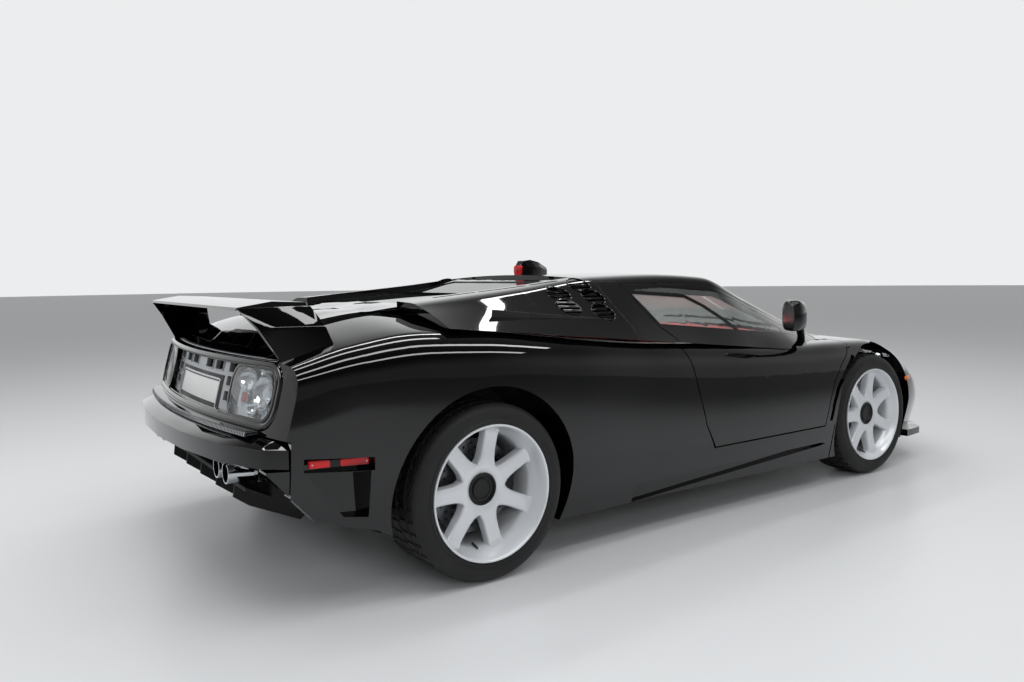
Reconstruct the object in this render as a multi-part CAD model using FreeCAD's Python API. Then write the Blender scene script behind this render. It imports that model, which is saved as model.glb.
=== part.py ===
import FreeCAD, Part
import math
import os

# A mid-engined two-seat supercar, in millimetres.
# +X points to the nose, +Y to the left side, +Z up.
# The origin is on the ground under the middle of the car's box.

V = FreeCAD.Vector

# Driving dimensions
LENGTH = 4400.0
NOSE_X = LENGTH / 2
TAIL_X = -LENGTH / 2
FRONT_AXLE_X = 1280.0
REAR_AXLE_X = -1270.0
ROOF_Z = 1122.0
FLOOR_Z = 120.0
FLOOR_TOP = 150.0
GAP = 6.0
LID_GAP = 8.0
SHELL = 35.0
GLASS = 6.0
BAR = 14.0
SEAT = 0.3

# Belt plane: where the upper body meets the lower one
BELT_Z = 843.5
BELT_SLOPE = -0.1

# Wheels: axle x, tyre radius, tyre width, rim radius, y of the rim's outer face, depth of the lip
WHEELS = {
    "front": dict(x=FRONT_AXLE_X, r=326.5, width=245.0, rim=248.0, face=905.0, lip=36.0),
    "rear": dict(x=REAR_AXLE_X, r=326.0, width=325.0, rim=248.0, face=964.0, lip=70.0),
}
ARCH_PLAY = 61.5
ARCH_R = WHEELS["front"]["r"] + ARCH_PLAY
DISC_R = 178.0
SPOKES = 7
TURN_FACES = 64
# Spoke sections: distance from the axle, half width, depth behind the spokes' face, thickness
SPOKE = [(58, 29, 6, 42), (110, 25, 9, 36), (170, 24, 5, 32), (228, 33, 0, 28)]

# Chassis planes
TUB_Y = 700.0
SILL_Y = 800.0
SILL_Z = 318.0
DOOR_Y = 760.0
FRONT_WELL_Y = 480.0
REAR_WELL_Y = 620.0
WALL = 40.0
FIREWALL_X = 930.0
FOOTWELL_X = 860.0
COWL_X = 1018.0
BULKHEAD_X = -500.0
LID_Y = 470.0
RAIL_END_X = TAIL_X + 240.0
FRAME_END_X = TAIL_X + 310.0

# Lower body sections:
# x, bottom z, sill y, waist y, waist z, shoulder y, shoulder z, round reach, crown z
LOWER = [
    (TAIL_X + 80, 300, 780, 830, 560, 815, 772, 60, 815),
    (TAIL_X + 230, 230, 840, 885, 560, 868, 812, 75, 872),
    (TAIL_X + 440, 180, 880, 935, 540, 925, 865, 105, 955),
    (-1500, 150, 895, 968, 520, 952, 895, 125, 992),
    (REAR_AXLE_X, 150, 905, 978, 510, 960, 890, 130, 974),
    (-850, 150, 900, 968, 475, 947, 850, 125, 932),
    (-400, 150, 890, 948, 430, 920, 808, 115, 887),
    (100, 146, 888, 940, 405, 909, 771, 110, 837),
    (750, 142, 888, 942, 400, 912, 735, 100, 772),
    (1000, 140, 888, 944, 410, 914, 732, 100, 764),
    (FRONT_AXLE_X, 140, 885, 944, 420, 914, 728, 100, 750),
    (1500, 140, 870, 930, 415, 895, 680, 100, 708),
    (NOSE_X - 500, 140, 825, 890, 400, 855, 588, 105, 640),
    (NOSE_X - 320, 140, 755, 822, 370, 785, 508, 80, 570),
    (NOSE_X - 180, 145, 645, 715, 340, 680, 445, 60, 505),
    (NOSE_X - 70, 150, 500, 565, 320, 530, 400, 40, 450),
    (NOSE_X, 170, 330, 390, 305, 360, 360, 28, 400),
]

# Upper body sections: x, y at the belt, y of the roof edge, z of the roof edge, round reach, crown z
UPPER = [
    (1010, 735, 700, 765, 15, 795),
    (760, 802, 655, 872, 35, 912),
    (520, 812, 610, 987, 42, 1023),
    (300, 812, 572, 1088, 48, 1109),
    (-50, 806, 548, 1105, 55, ROOF_Z),
    (-400, 812, 560, 1098, 60, ROOF_Z - 5),
    (-850, 824, 590, 1055, 55, 1073),
    (-1400, 812, 630, 1008, 40, 1020),
]
UPPER_END_X = UPPER[-1][0]
UPPER_FRONT_X = UPPER[0][0]

# Seams seen from above: x, y
WINDSCREEN_EDGE = [(985, 640), (330, 515)]
DOOR_TOP_EDGE = [(1100, 735), (930, 712), (520, 645), (300, 605), (-50, 585), (-400, 598)]
LID_PLAN = [(1031, 598), (1090, 598), (1690, 470)]
HEADLAMP_PLAN = [(1470, 660), (1520, 840), (1850, 800), (1850, 600)]

# Seams seen from the side: x, z
DOOR_REAR = [(-33, 325), (-101, 433), (-200, 800), (-210, 820), (-270, 880), (-330, 1130)]
DOOR_FRONT = [(1056, 1130), (1056, 714), (945, 633), (871, 543), (831, 463), (809, 383), (797, 325)]
NOSE_SEAM = [(1668, 100), (1668, 430), (1860, 470), (1860, 1000)]
LID_FLOOR = [(1031, 722), (1690, 598)]
HEADLAMP_FLOOR = [(1440, 650), (1850, 500)]
FRONT_LEDGE = [(930, 690), (1720, 545)]
ENGINE_LID = [(-520, 1090), (-860, 1028), (-1380, 990), (-1730, 948)]
ENGINE_LID_T = 30.0
VENT_INNER = [(1050, 672), (962, 590), (888, 511), (852, 437), (833, 344)]
VENT_OUTER = [(858, 344), (878, 432), (915, 505), (990, 575), (1072, 658)]
SILL_SLOT = [(-528, 229), (787, 234), (831, 226), (787, 219), (-528, 150)]
QUARTER_EDGE = [(-2150, 592), (-1986, 592), (-1986, 404), (-1908, 318), (-1700, 258), (-1500, 140)]
SCOOP = [(-1946, 484), (-1734, 472), (-1736, 312), (-1819, 324)]
MARKER = [(-1940, 500), (-1728, 487), (-1728, 511), (-1940, 524)]
MARKER_RECESS = [(-1948, 486), (-1722, 472), (-1722, 517), (-1948, 531)]
PORT_PANEL = [(-845, 1150), (-898, 925), (-898, 800), (-470, 800), (-453, 880), (-463, 990), (-455, 1150)]
SIDE_PANEL = [(-449, 1150), (-457, 990), (-447, 880), (-464, 800), (-180, 800), (-180, 1150)]

# Side glass seen from the side: x, height over the belt
WINDOW = [(800, 14), (520, 132), (300, 205), (-50, 198), (-292, 165), (-250, 14)]
WINDOW_BAR = [(-320, 152), (55, 160), (140, 118), (216, 61), (270, 10)]
WINDOW_BAR_W = 16.0

# Louvred ports behind the door: x, y
PORTS = [(-709, 644), (-556, 594), (-537, 668), (-720, 726), (-552, 751)]
PORT_R = 57.0
PORT_DEPTH = 22.0
PORT_PANEL_Y = 578.0

# Slots along the top of the rear buttresses: x from, x to
DECK_SLOTS = [(-1257, -1055), (-1041, -791), (-775, -619)]
DECK_SLOT_Y = (506.0, 528.0)

# Hinge axes: x, y, z of a point, tilt from the Y axis in degrees
DOOR_HINGE = (1062.0, 850.0, 724.0, 3.0)
LID_HINGE = (1024.0, 380.0, 749.0)
ENGINE_LID_HINGE = (-516.0, 340.0, 1086.0)
STEER_Y = 722.0
PIN_R = 3.5
BARREL_R = 6.0
DOOR_PIN_R = 3.0
DOOR_BARREL_R = 6.0
DOOR_DISC_R = 17.0
PIN_PLAY = 0.3

# Tail face: a leaning round face, and what is set into it: half widths and heights
TAIL_FACE_X = TAIL_X + 128.0
TAIL_FACE_Z = 700.0
TAIL_FACE_R = 4000.0
TAIL_LEAN = 13.5
TAIL_DEPTH = 28.0
TAIL_OPEN = dict(y=786.0, low=604.0, high=834.0, r=85.0)
TAIL_INNER = dict(y=766.0, low=622.0, high=816.0, r=66.0)
TAIL_LAMP = dict(y0=422.0, y1=732.0, low=634.0, high=804.0, r=62.0)
PLATE = dict(y=260.0, low=622.0, high=735.0)
# Square holes of the tail panel: y, z, half width, half height
TAIL_HOLES = [
    (103, 785, 42, 19),
    (218, 785, 42, 19),
    (364, 785, 42, 19),
    (364, 735, 44, 19),
    (364, 681, 44, 19),
]

# Rear bumper plan: outer x, outer y, inner x, inner y
BUMPER = [
    (TAIL_X + 210, 862, TAIL_X + 210, 800),
    (TAIL_X + 139, 802, TAIL_X + 208, 770),
    (TAIL_X + 60, 600, TAIL_X + 140, 590),
    (TAIL_X + 15, 300, TAIL_X + 100, 300),
]
# Rear bumper heights: z, how far the outer line is drawn in
BUMPER_HEIGHTS = [(484, 0.35), (500, 0.0), (562, 0.0), (586, 0.6)]
UNDERCUT = [(-1560, 150), (-2050, 397)]
EXHAUST_Y = (415.0, 525.0)
EXHAUST_R = 38.0
EXHAUST_Z = 440.0

# Wing: x, z points of the blade, then rings of x, y, z points of the left end plate
BLADE = [(-2083, 1004), (-2078, 1014), (-1960, 1032), (-1840, 1026), (-1836, 1014), (-1960, 1012)]
END_PLATE = [
    [(-2083, 640, 1012), (-2083, 656, 1012), (-1832, 670, 1012), (-1836, 648, 1012)],
    [(-2030, 684, 945), (-2026, 698, 945), (-1806, 738, 945), (-1810, 722, 945)],
    [(-1945, 735, 800), (-1945, 750, 800), (-1768, 806, 800), (-1768, 790, 800)],
]
BLADE_Y = 645.0

# Roof pod sections: x, half width, low z, high z
POD = [
    (-459, 40, 1100, 1160),
    (-440, 54, 1100, 1182),
    (-405, 56, 1100, 1188),
    (-345, 40, 1100, 1176),
    (-282, 12, 1100, 1146),
]

# Mirror arm: x, y, z of the middle, half length, half width, half height.
# Mirror head: x, y, z of the middle, half width, half height
MIRROR_ARM = [(648, 872, 744, 40, 26, 8), (560, 955, 800, 34, 22, 9), (490, 985, 850, 30, 30, 20)]
MIRROR_HEAD = [
    (415, 985, 900, 40, 66),
    (440, 985, 902, 45, 74),
    (500, 980, 900, 44, 70),
    (545, 972, 890, 26, 44),
]

# Front lip seen from above: x, y; and intakes of the nose
LIP = [(1690, 868), (1850, 850), (1975, 740), (2080, 590), (2150, 400), (NOSE_X - 12, 0)]
LIP_HEIGHT = (148.0, 186.0)
INTAKE_PLAN = [(2128, 250), (2062, 470), (1985, 610), (2400, 610), (2400, 250)]
INTAKE_HEIGHT = (222.0, 330.0)
GRILLE = dict(depth=48.0, y=92.0, low=246.0, high=372.0, bars=5)


def belt(x):
    return BELT_Z + BELT_SLOPE * x


def box(x0, x1, y0, y1, z0, z1):
    low = V(min(x0, x1), min(y0, y1), min(z0, z1))
    return Part.makeBox(abs(x1 - x0), abs(y1 - y0), abs(z1 - z0), low)


def rounded_box(x0, x1, y0, y1, z0, z1, r):
    """A box whose four edges along X are rounded."""
    solid = box(x0, x1, y0, y1, z0, z1)
    along = [e for e in solid.Edges if abs(e.tangentAt(e.FirstParameter).x) > 0.9]
    return solid.makeFillet(r, along)


def mirrored(shape):
    return shape.mirror(V(0, 0, 0), V(0, 1, 0))


def both(shape):
    return shape.fuse(mirrored(shape))


def pair(shape):
    """A left-side solid and its mirror image, as two solids."""
    return Part.makeCompound([shape, mirrored(shape)])


def joined(shapes):
    first = shapes[0]
    return first.fuse(shapes[1:]).removeSplitter() if len(shapes) > 1 else first


def biggest(shape):
    solids = sorted(shape.Solids, key=lambda s: s.Volume)
    return solids[-1]


def side_prism(points, y0, y1):
    """A prism along Y whose outline is given in x and z."""
    ring = [V(x, y0, z) for x, z in points]
    return Part.Face(Part.makePolygon(ring + ring[:1])).extrude(V(0, y1 - y0, 0))


def plan_prism(points, z0, z1):
    """A prism along Z whose outline is given in x and y."""
    ring = [V(x, y, z0) for x, y in points]
    return Part.Face(Part.makePolygon(ring + ring[:1])).extrude(V(0, 0, z1 - z0))


def through(rows):
    """A straight-sided solid through closed rows of points."""
    wires = [Part.makePolygon([V(*p) for p in row + row[:1]]) for row in rows]
    return Part.makeLoft(wires, True, True)


def shifted(points, dx=0.0, dy=0.0):
    return [(a + dx, b + dy) for a, b in points]


def cylinder_y(x, z, r, y0, y1):
    return Part.makeCylinder(r, abs(y1 - y0), V(x, min(y0, y1), z), V(0, 1, 0))


def flip(p):
    return V(p.x, -p.y, p.z)


def between(rows, x):
    """The row at x, on the straight line between its two neighbours."""
    rows = sorted(rows)
    x = min(max(x, rows[0][0]), rows[-1][0])
    for low, high in zip(rows, rows[1:]):
        if x <= high[0]:
            t = (x - low[0]) / (high[0] - low[0])
            return [a + (b - a) * t for a, b in zip(low, high)]
    return list(rows[-1])


def rounded(before, at, after, reach):
    """Start, middle and end of the arc that rounds a corner."""
    back = (before - at).normalize()
    on = (after - at).normalize()
    half = back.getAngle(on) / 2
    centre = at + (back + on).normalize() * (reach / math.cos(half))
    middle = centre - (back + on).normalize() * (reach * math.tan(half))
    return at + back * reach, middle, at + on * reach


def chords(a, m, b, count):
    """Points that divide the arc through a, m and b."""
    curve = Part.Arc(a, m, b)
    first = curve.FirstParameter
    step = (curve.LastParameter - first) / count
    return [curve.value(first + step * i) for i in range(count + 1)]


def crown_aim(at, crown, reach):
    """A point past the shoulder, so that its rounding meets the crown arc smoothly."""
    angle = 0.1
    for _ in range(14):
        end = at + V(0, -math.cos(angle), math.sin(angle)) * reach
        angle = 2 * math.atan2(crown - end.z, end.y)
    return at + V(0, -math.cos(angle), math.sin(angle)) * 400


def ring_of(points, crown):
    """Closes half a section, given from its foot to its last point, over the car's middle."""
    x = points[0].x
    over = chords(points[-1], V(x, 0, crown), flip(points[-1]), 4)[1:2]
    half = points + over
    full = half + [V(x, 0, crown)] + [flip(p) for p in reversed(half)]
    return Part.makePolygon(full + full[:1])


def lower_section(x, bottom, sill, waist, waist_z, shoulder, shoulder_z, reach, crown):
    foot = V(x, sill, bottom)
    mid = V(x, waist, waist_z)
    top = V(x, shoulder, shoulder_z)
    a, m, b = rounded(foot, mid, top, 0.25 * min((foot - mid).Length, (top - mid).Length))
    c, n, d = rounded(mid, top, crown_aim(top, crown, reach), reach)
    return ring_of([foot, a, m, b] + chords(c, n, d, 3), crown)


def upper_section(x, belt_y, edge, edge_z, reach, crown, inset=0.0):
    z = belt(x)
    slope = min((belt_y - edge) / max(edge_z - z, 10.0), 1.2)
    drop = 60.0
    foot = V(x, belt_y + slope * drop - inset * 1.15, z - drop)
    top = V(x, edge - inset * 0.8, edge_z - inset)
    a, m, b = rounded(foot, top, crown_aim(top, crown - inset, reach), reach)
    return ring_of([foot] + chords(a, m, b, 2), crown - inset)


def lower_body():
    return Part.makeLoft([lower_section(*row) for row in LOWER], True, True)


def upper_body(inset=0.0):
    return Part.makeLoft([upper_section(*row, inset=inset) for row in UPPER], True, True)


def tail_round(depth):
    """Everything ahead of the tail face, set in by depth."""
    lean = math.radians(TAIL_LEAN)
    up = V(math.sin(lean), 0, math.cos(lean))
    on = V(math.cos(lean), 0, -math.sin(lean))
    reach = TAIL_FACE_R * 0.75
    foot = V(TAIL_FACE_X, 0, TAIL_FACE_Z) + on * TAIL_FACE_R - up * reach
    return Part.makeCylinder(TAIL_FACE_R - depth, 2 * reach, foot, up)


def tail_layer(near, far):
    """The layer of the tail between two depths; a depth below 0 stands proud."""
    return tail_round(near).cut(tail_round(far)).common(box(TAIL_X - 100, TAIL_X + 300, -900, 900, 500, 900))


def tail_window(size, inset=0.0):
    x0, x1 = TAIL_X - 100, TAIL_X + 300
    y = size["y"] - inset
    return rounded_box(x0, x1, -y, y, size["low"] + inset, size["high"] - inset, size["r"] - inset)


def below_belt():
    """What lies below the belt plane, over the upper body's length."""
    x0, x1 = UPPER_END_X, UPPER_FRONT_X
    return side_prism([(x0, belt(x0)), (x1, belt(x1)), (x1, -100), (x0, -100)], -1200, 1200)


def outward(points, reach):
    """Left-side plan outline from a seam to the outside."""
    return points + [(points[-1][0], reach), (points[0][0], reach)]


def band(points):
    """Plan outline symmetric over the middle."""
    return points + [(x, -y) for x, y in reversed(points)]


def door_prism(grow, y0, y1):
    """The door's side outline, grown by grow on each side."""
    rear = [(x - grow, z - grow * 0.4) for x, z in DOOR_REAR]
    rear[0] = (rear[0][0], rear[0][1] - grow)
    front = [(x + grow, z - grow * 0.4) for x, z in DOOR_FRONT]
    front[0] = (front[0][0], DOOR_FRONT[0][1])
    front[-1] = (front[-1][0], DOOR_FRONT[-1][1] - grow)
    return side_prism(rear + front, y0, y1)


def axis_rod(r, y0, y1, faces=0):
    """A rod along the left door's hinge axis, round or with flat faces."""
    x, y, z, tilt = DOOR_HINGE
    slope = math.tan(math.radians(tilt))
    start = V(x, y0, z + (y - y0) * slope)
    end = V(x, y1, z + (y - y1) * slope)
    if faces == 0:
        return Part.makeCylinder(r, (end - start).Length, start, end - start)
    ring = []
    for i in range(faces):
        a = 2 * math.pi * i / faces
        ring.append(start + V(r * math.cos(a), 0, r * math.sin(a)))
    return Part.Face(Part.makePolygon(ring + ring[:1])).extrude(end - start)


def left_half():
    return box(TAIL_X - 200, NOSE_X + 200, 0, 1200, -10, 1400)


def arch(which):
    wheel = WHEELS[which]
    return cylinder_y(wheel["x"], wheel["r"], ARCH_R, 0, 1200)


def barrels(hinge, fixed_x, moving_x):
    """Two hinges on one axis along Y: their fixed and their moving halves."""
    x, y, z = hinge
    pins, lugs = [], []
    out = -1 if fixed_x < moving_x else 1
    for at in (-y, y):
        pins.append(cylinder_y(x, z, PIN_R, at - 30, at + 30))
        for end in (at - 30, at + 20.5):
            pins.append(cylinder_y(x, z, BARREL_R, end, end + 9.5))
            pins.append(box(x, fixed_x + out * 6, end, end + 9.5, z - 7, z - 1))
        arm = box(x, moving_x - out * 12, at - 20, at + 20, z - 7, z - 1)
        tube = cylinder_y(x, z, BARREL_R, at - 20, at + 20).fuse(arm)
        lugs.append(tube.cut(cylinder_y(x, z, PIN_R + PIN_PLAY, at - 21, at + 21)))
    return Part.makeCompound(pins), Part.makeCompound(lugs)


def lug_room(hinge):
    """Room in the fixed edge for the turning halves of its hinges."""
    x, y, z = hinge
    return Part.makeCompound([cylinder_y(x, z, BARREL_R + GAP, at - 20.5, at + 20.5) for at in (-y, y)])


def hinge_room(hinge):
    """Room in a lid's edge for the fixed halves of its hinges."""
    x, y, z = hinge
    rooms = []
    for at in (-y, y):
        for end in (at - 36, at + 20):
            rooms.append(cylinder_y(x, z, BARREL_R + GAP, end, end + 16))
    return Part.makeCompound(rooms)


def lid_prism(grow):
    plan = [(x, y + grow) for x, y in LID_PLAN]
    plan[0] = (plan[0][0] - grow, plan[0][1])
    plan[-1] = (plan[-1][0] + grow, plan[-1][1])
    rear, front = LID_FLOOR
    floor = [(rear[0] - grow, rear[1] - grow), (front[0] + grow, front[1] - grow)]
    side = side_prism(floor + [(floor[1][0], 1000), (floor[0][0], 1000)], -900, 900)
    return plan_prism(band(plan), 300, 1000).common(side)


def headlamp_prism():
    rear, front = HEADLAMP_FLOOR
    side = side_prism([rear, front, (front[0], 1000), (rear[0], 1000)], 0, 1200)
    return plan_prism(HEADLAMP_PLAN, 300, 1000).common(side)


def window_prism():
    return side_prism([(x, belt(x) + up) for x, up in WINDOW], 0, 1200)


def window_bar(grow):
    """The bar that divides the side glass."""
    low = [(x, belt(x) + up - WINDOW_BAR_W / 2 - grow) for x, up in WINDOW_BAR]
    high = [(x + WINDOW_BAR_W / 2, belt(x) + up + WINDOW_BAR_W / 2 + grow) for x, up in WINDOW_BAR]
    low[-1] = (low[-1][0] - grow, low[-1][1])
    high[-1] = (high[-1][0] + WINDOW_BAR_W + grow, low[-1][1])
    return side_prism(low + list(reversed(high)), 0, 1200)


def engine_lid_prism(grow):
    top = list(ENGINE_LID)
    low = ENGINE_LID_T + grow
    bottom = [(x, z - low) for x, z in reversed(top)]
    if grow > 0:
        top = [(x, z + 200) for x, z in top]
        top[0] = bottom[-1][0] + grow, top[0][1]
        top[-1] = bottom[0][0] - grow, top[-1][1]
        bottom[-1] = bottom[-1][0] + grow, bottom[-1][1]
        bottom[0] = bottom[0][0] - grow, bottom[0][1]
    return side_prism(top + bottom, -LID_Y - grow, LID_Y + grow)


def surface_frame(x, y):
    """Height of the upper side at x and y, and the angle that its normal leans outwards."""
    _, belt_y, edge, edge_z, _, _ = between(UPPER, x)
    run = belt_y - edge
    rise = edge_z - belt(x)
    return edge_z - (y - edge) * rise / run, math.degrees(math.atan2(rise, run))


def port_cutters():
    """Round recesses of the left port panel; what is left of their slats stands in them."""
    cutters = []
    for x, y in PORTS:
        z, lean = surface_frame(x, y)
        hole = Part.makeCylinder(PORT_R, PORT_DEPTH + 30, V(0, 0, -PORT_DEPTH))
        slats = [box(-PORT_R, PORT_R, at - 4, at + 4, -PORT_DEPTH, -6) for at in (-28, 0, 28)]
        hole = hole.cut(Part.makeCompound(slats))
        hole.rotate(V(0, 0, 0), V(1, 0, 0), -lean)
        hole.translate(V(x, y, z))
        cutters.append(hole)
    return Part.makeCompound(cutters)


def make_body(out, whole):
    lower = whole.common(tail_round(0))
    front_zone = box(UPPER_FRONT_X, NOSE_X + 100, -1200, 1200, 0, 1200)
    fore = lower.common(front_zone)
    aft = lower.common(box(UPPER_END_X, TAIL_X - 100, -1200, 1200, 0, 1200))
    middle = lower.common(below_belt())
    outer = upper_body().cut(middle)
    shell = outer.cut(upper_body(SHELL))
    pane = outer.cut(upper_body(GLASS))
    strip = outer.cut(upper_body(BAR))
    side = middle.fuse(fore).fuse(aft).common(left_half())
    make_front(out, middle.fuse(fore), side, fore)
    make_side(out, side, shell, pane, strip)
    make_top(out, shell, pane, strip)
    make_back(out, side, aft)


def make_front(out, lower, side, fore):
    door_out = door_prism(GAP, DOOR_Y - GAP, 1200)
    lid_cut = lid_prism(LID_GAP)
    lamp = headlamp_prism()
    pocket = axis_rod(DOOR_DISC_R + GAP, DOOR_Y - 31, 1000.0, 20)
    ahead = side_prism(NOSE_SEAM + [(NOSE_X + 100, 1000), (NOSE_X + 100, 100)], -1200, 1200)
    fender_zone = box(780, 1900, FRONT_WELL_Y - WALL, 1200, 0, 1200).cut(ahead)
    fender = side.common(fender_zone).cut(arch("front")).cut(door_out).cut(pocket)
    fender = fender.cut(box(0, COWL_X, 0, DOOR_Y, 0, 1200)).cut(lid_cut).cut(lamp)
    fender = fender.cut(side_prism(FRONT_LEDGE + [(1720, 0), (930, 0)], 0, TUB_Y))
    fender = fender.cut(box(0, LID_PLAN[0][0] + 30, 0, LID_PLAN[0][1] + LID_GAP, 0, 1200))
    fender = fender.cut(box(780, 888, 0, 1200, 0, SILL_Z))
    fender = fender.cut(side_prism(VENT_INNER + VENT_OUTER, 892, 1200))
    pin = axis_rod(DOOR_PIN_R, DOOR_Y - 60, DOOR_Y - 4)
    out["fender"] = biggest(biggest(fender).fuse(pin))
    cowl = lower.common(box(FIREWALL_X, COWL_X, -DOOR_Y + GAP, DOOR_Y - GAP, 712, 1200))
    beside = plan_prism(outward(DOOR_TOP_EDGE, 1200), 600, 1300)
    cowl = cowl.cut(beside).cut(mirrored(beside))
    pins, lugs = barrels(LID_HINGE, COWL_X, LID_PLAN[0][0])
    out["cowl"] = biggest(cowl.cut(lug_room(LID_HINGE)).fuse(pins))

    glass = biggest(side.common(lamp))
    lens = glass.cut(glass.translated(V(-4, -4, -10)))
    out["headlamps"] = pair(biggest(lens))

    nose = lower.common(ahead).cut(lid_cut)
    nose = nose.cut(box(1000, NOSE_X - 240, -FRONT_WELL_Y, FRONT_WELL_Y, 150, 520))
    intake = plan_prism(INTAKE_PLAN, *INTAKE_HEIGHT)
    slat = plan_prism(shifted(INTAKE_PLAN[:3] + [(2002, 610), (2080, 470), (2148, 250)], 14), 272, 280)
    nose = nose.cut(intake.cut(slat)).cut(mirrored(intake.cut(slat)))
    g = GRILLE
    mouth = box(NOSE_X - g["depth"], NOSE_X + 50, -g["y"], g["y"], g["low"], g["high"])
    step = 2 * g["y"] / (g["bars"] + 1)
    bars = []
    for i in range(1, g["bars"] + 1):
        at = -g["y"] + step * i
        bars.append(box(NOSE_X - g["depth"], NOSE_X - 16, at - 3, at + 3, g["low"], g["high"]))
    nose = biggest(nose.cut(mouth.cut(Part.makeCompound(bars))))
    inner = [(LIP[0][0], LIP[0][1] - 90)]
    inner += [(x - 120, y - 90) for x, y in LIP[1:-1]] + [(LIP[-1][0] - 120, 0)]
    half = LIP + list(reversed(inner))
    lip = plan_prism(half, *LIP_HEIGHT)
    out["nose"] = biggest(joined([nose, lip, mirrored(lip)]))
    lid = fore.common(lid_prism(0))
    out["front_lid"] = biggest(lid.cut(hinge_room(LID_HINGE)).fuse(lugs))


def make_side(out, side, shell, pane, strip):
    skirt = side.common(box(REAR_AXLE_X + 400, 880, SILL_Y, 1200, 100, SILL_Z))
    skirt = skirt.cut(arch("front")).cut(arch("rear"))
    out["skirts"] = pair(biggest(skirt.cut(side_prism(SILL_SLOT, 872, 1200))))

    slab = side.common(door_prism(0, DOOR_Y, 1200)).common(box(-600, 1100, DOOR_Y, 1200, SILL_Z + 7, 900))
    disc = axis_rod(DOOR_DISC_R, DOOR_Y, 1000, 20).common(side)
    top_zone = plan_prism(outward(shifted(DOOR_TOP_EDGE, 0, GAP), 1200), 600, 1300)
    side_zone = door_prism(0, 0, 1200)
    frame = shell.common(top_zone).common(side_zone)
    window = window_prism()
    bar = strip.common(window_bar(0)).common(window)
    lug = axis_rod(DOOR_BARREL_R, DOOR_Y - 25, DOOR_Y + 10)
    door = slab.fuse([frame.cut(window), bar, disc, lug]).cut(axis_rod(DOOR_PIN_R + PIN_PLAY, 0, DOOR_Y))
    out["door"] = biggest(door)
    glass = pane.common(top_zone).common(window).cut(window_bar(SEAT))
    panes = sorted(glass.Solids, key=lambda s: s.Volume)[-2:]
    out["door_glass"] = Part.makeCompound(panes)


def make_top(out, shell, pane, strip):
    # Roof with its pillars and the buttresses
    screen = plan_prism(band(WINDSCREEN_EDGE), 600, 1300)
    out["windscreen"] = biggest(pane.common(screen))
    door_hole = plan_prism(outward(DOOR_TOP_EDGE, 1200), 600, 1300).common(door_prism(GAP, 0, 1200))
    edge = ENGINE_LID[0][0] + 8
    channel = box(edge, UPPER_END_X - 100, -LID_Y - 8, LID_Y + 8, 900, 1200)
    behind_door = side_prism(SIDE_PANEL, PORT_PANEL_Y, 1200).cut(door_prism(GAP, 0, 1200))
    sides = [side_prism(PORT_PANEL, PORT_PANEL_Y, 1200), behind_door]
    panels = [biggest(shell.common(zone)) for zone in sides]
    panels[0] = biggest(panels[0].cut(port_cutters()))
    out["side_panels"] = Part.makeCompound(panels + [mirrored(p) for p in panels])
    roof = shell.cut(screen).cut(door_hole).cut(mirrored(door_hole)).cut(channel)
    for zone in sides:
        roof = roof.cut(zone).cut(mirrored(zone))
    for x0, x1 in DECK_SLOTS:
        slot = strip.common(box(x0, x1, *DECK_SLOT_Y, 900, 1200))
        roof = roof.cut(slot).cut(mirrored(slot))
    rows = []
    for x, half, low, high in POD:
        mid = (low + high) / 2 + 10
        ring = [(-half * 0.8, low), (half * 0.8, low), (half, mid)]
        ring += [(half * 0.5, high), (-half * 0.5, high), (-half, mid)]
        rows.append([(x, y, z) for y, z in ring])
    pins, lugs = barrels(ENGINE_LID_HINGE, edge, ENGINE_LID[0][0])
    roof = roof.cut(lug_room(ENGINE_LID_HINGE)).fuse([pins, through(rows)])
    out["roof"] = biggest(roof)

    lid = engine_lid_prism(0).cut(hinge_room(ENGINE_LID_HINGE)).fuse(lugs)
    rim = engine_lid_prism(0).common(box(-1300, -600, -400, 400, 900, 1200))
    glass = rim.cut(rim.translated(V(0, 0, -GLASS)))
    out["engine_glass"] = biggest(glass)
    lid = lid.cut(box(-1285, -615, -385, 385, 900, 1200)).cut(glass)
    out["engine_lid"] = biggest(lid)


def make_back(out, side, aft):
    quarter_zone = side_prism(
        QUARTER_EDGE + [(-870, 140), (-870, SILL_Z), (0, SILL_Z), (0, 1100), (-2150, 1100)],
        REAR_WELL_Y,
        1200,
    )
    quarter = side.common(quarter_zone).cut(arch("rear")).cut(door_prism(GAP, DOOR_Y - GAP, 1200))
    quarter = quarter.cut(box(BULKHEAD_X, 0, 0, TUB_Y, 0, 1200)).cut(tail_window(TAIL_OPEN))
    quarter = quarter.cut(box(TAIL_X - 100, -1672, 0, 800, 0, 592))
    straight = TAIL_OPEN["y"] - TAIL_OPEN["r"]
    quarter = quarter.cut(box(TAIL_X - 100, -1900, 0, straight, 590, TAIL_OPEN["low"] + 2))
    quarter = quarter.cut(side_prism(SCOOP, 855, 1200)).cut(side_prism(MARKER_RECESS, 862, 1200))
    out["quarter"] = biggest(quarter)
    deck = aft.common(box(-2100, UPPER_END_X, -REAR_WELL_Y, REAR_WELL_Y, 860, 1200))
    deck = deck.cut(engine_lid_prism(GAP)).cut(tail_window(TAIL_OPEN))
    out["rear_deck"] = biggest(deck)


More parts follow.
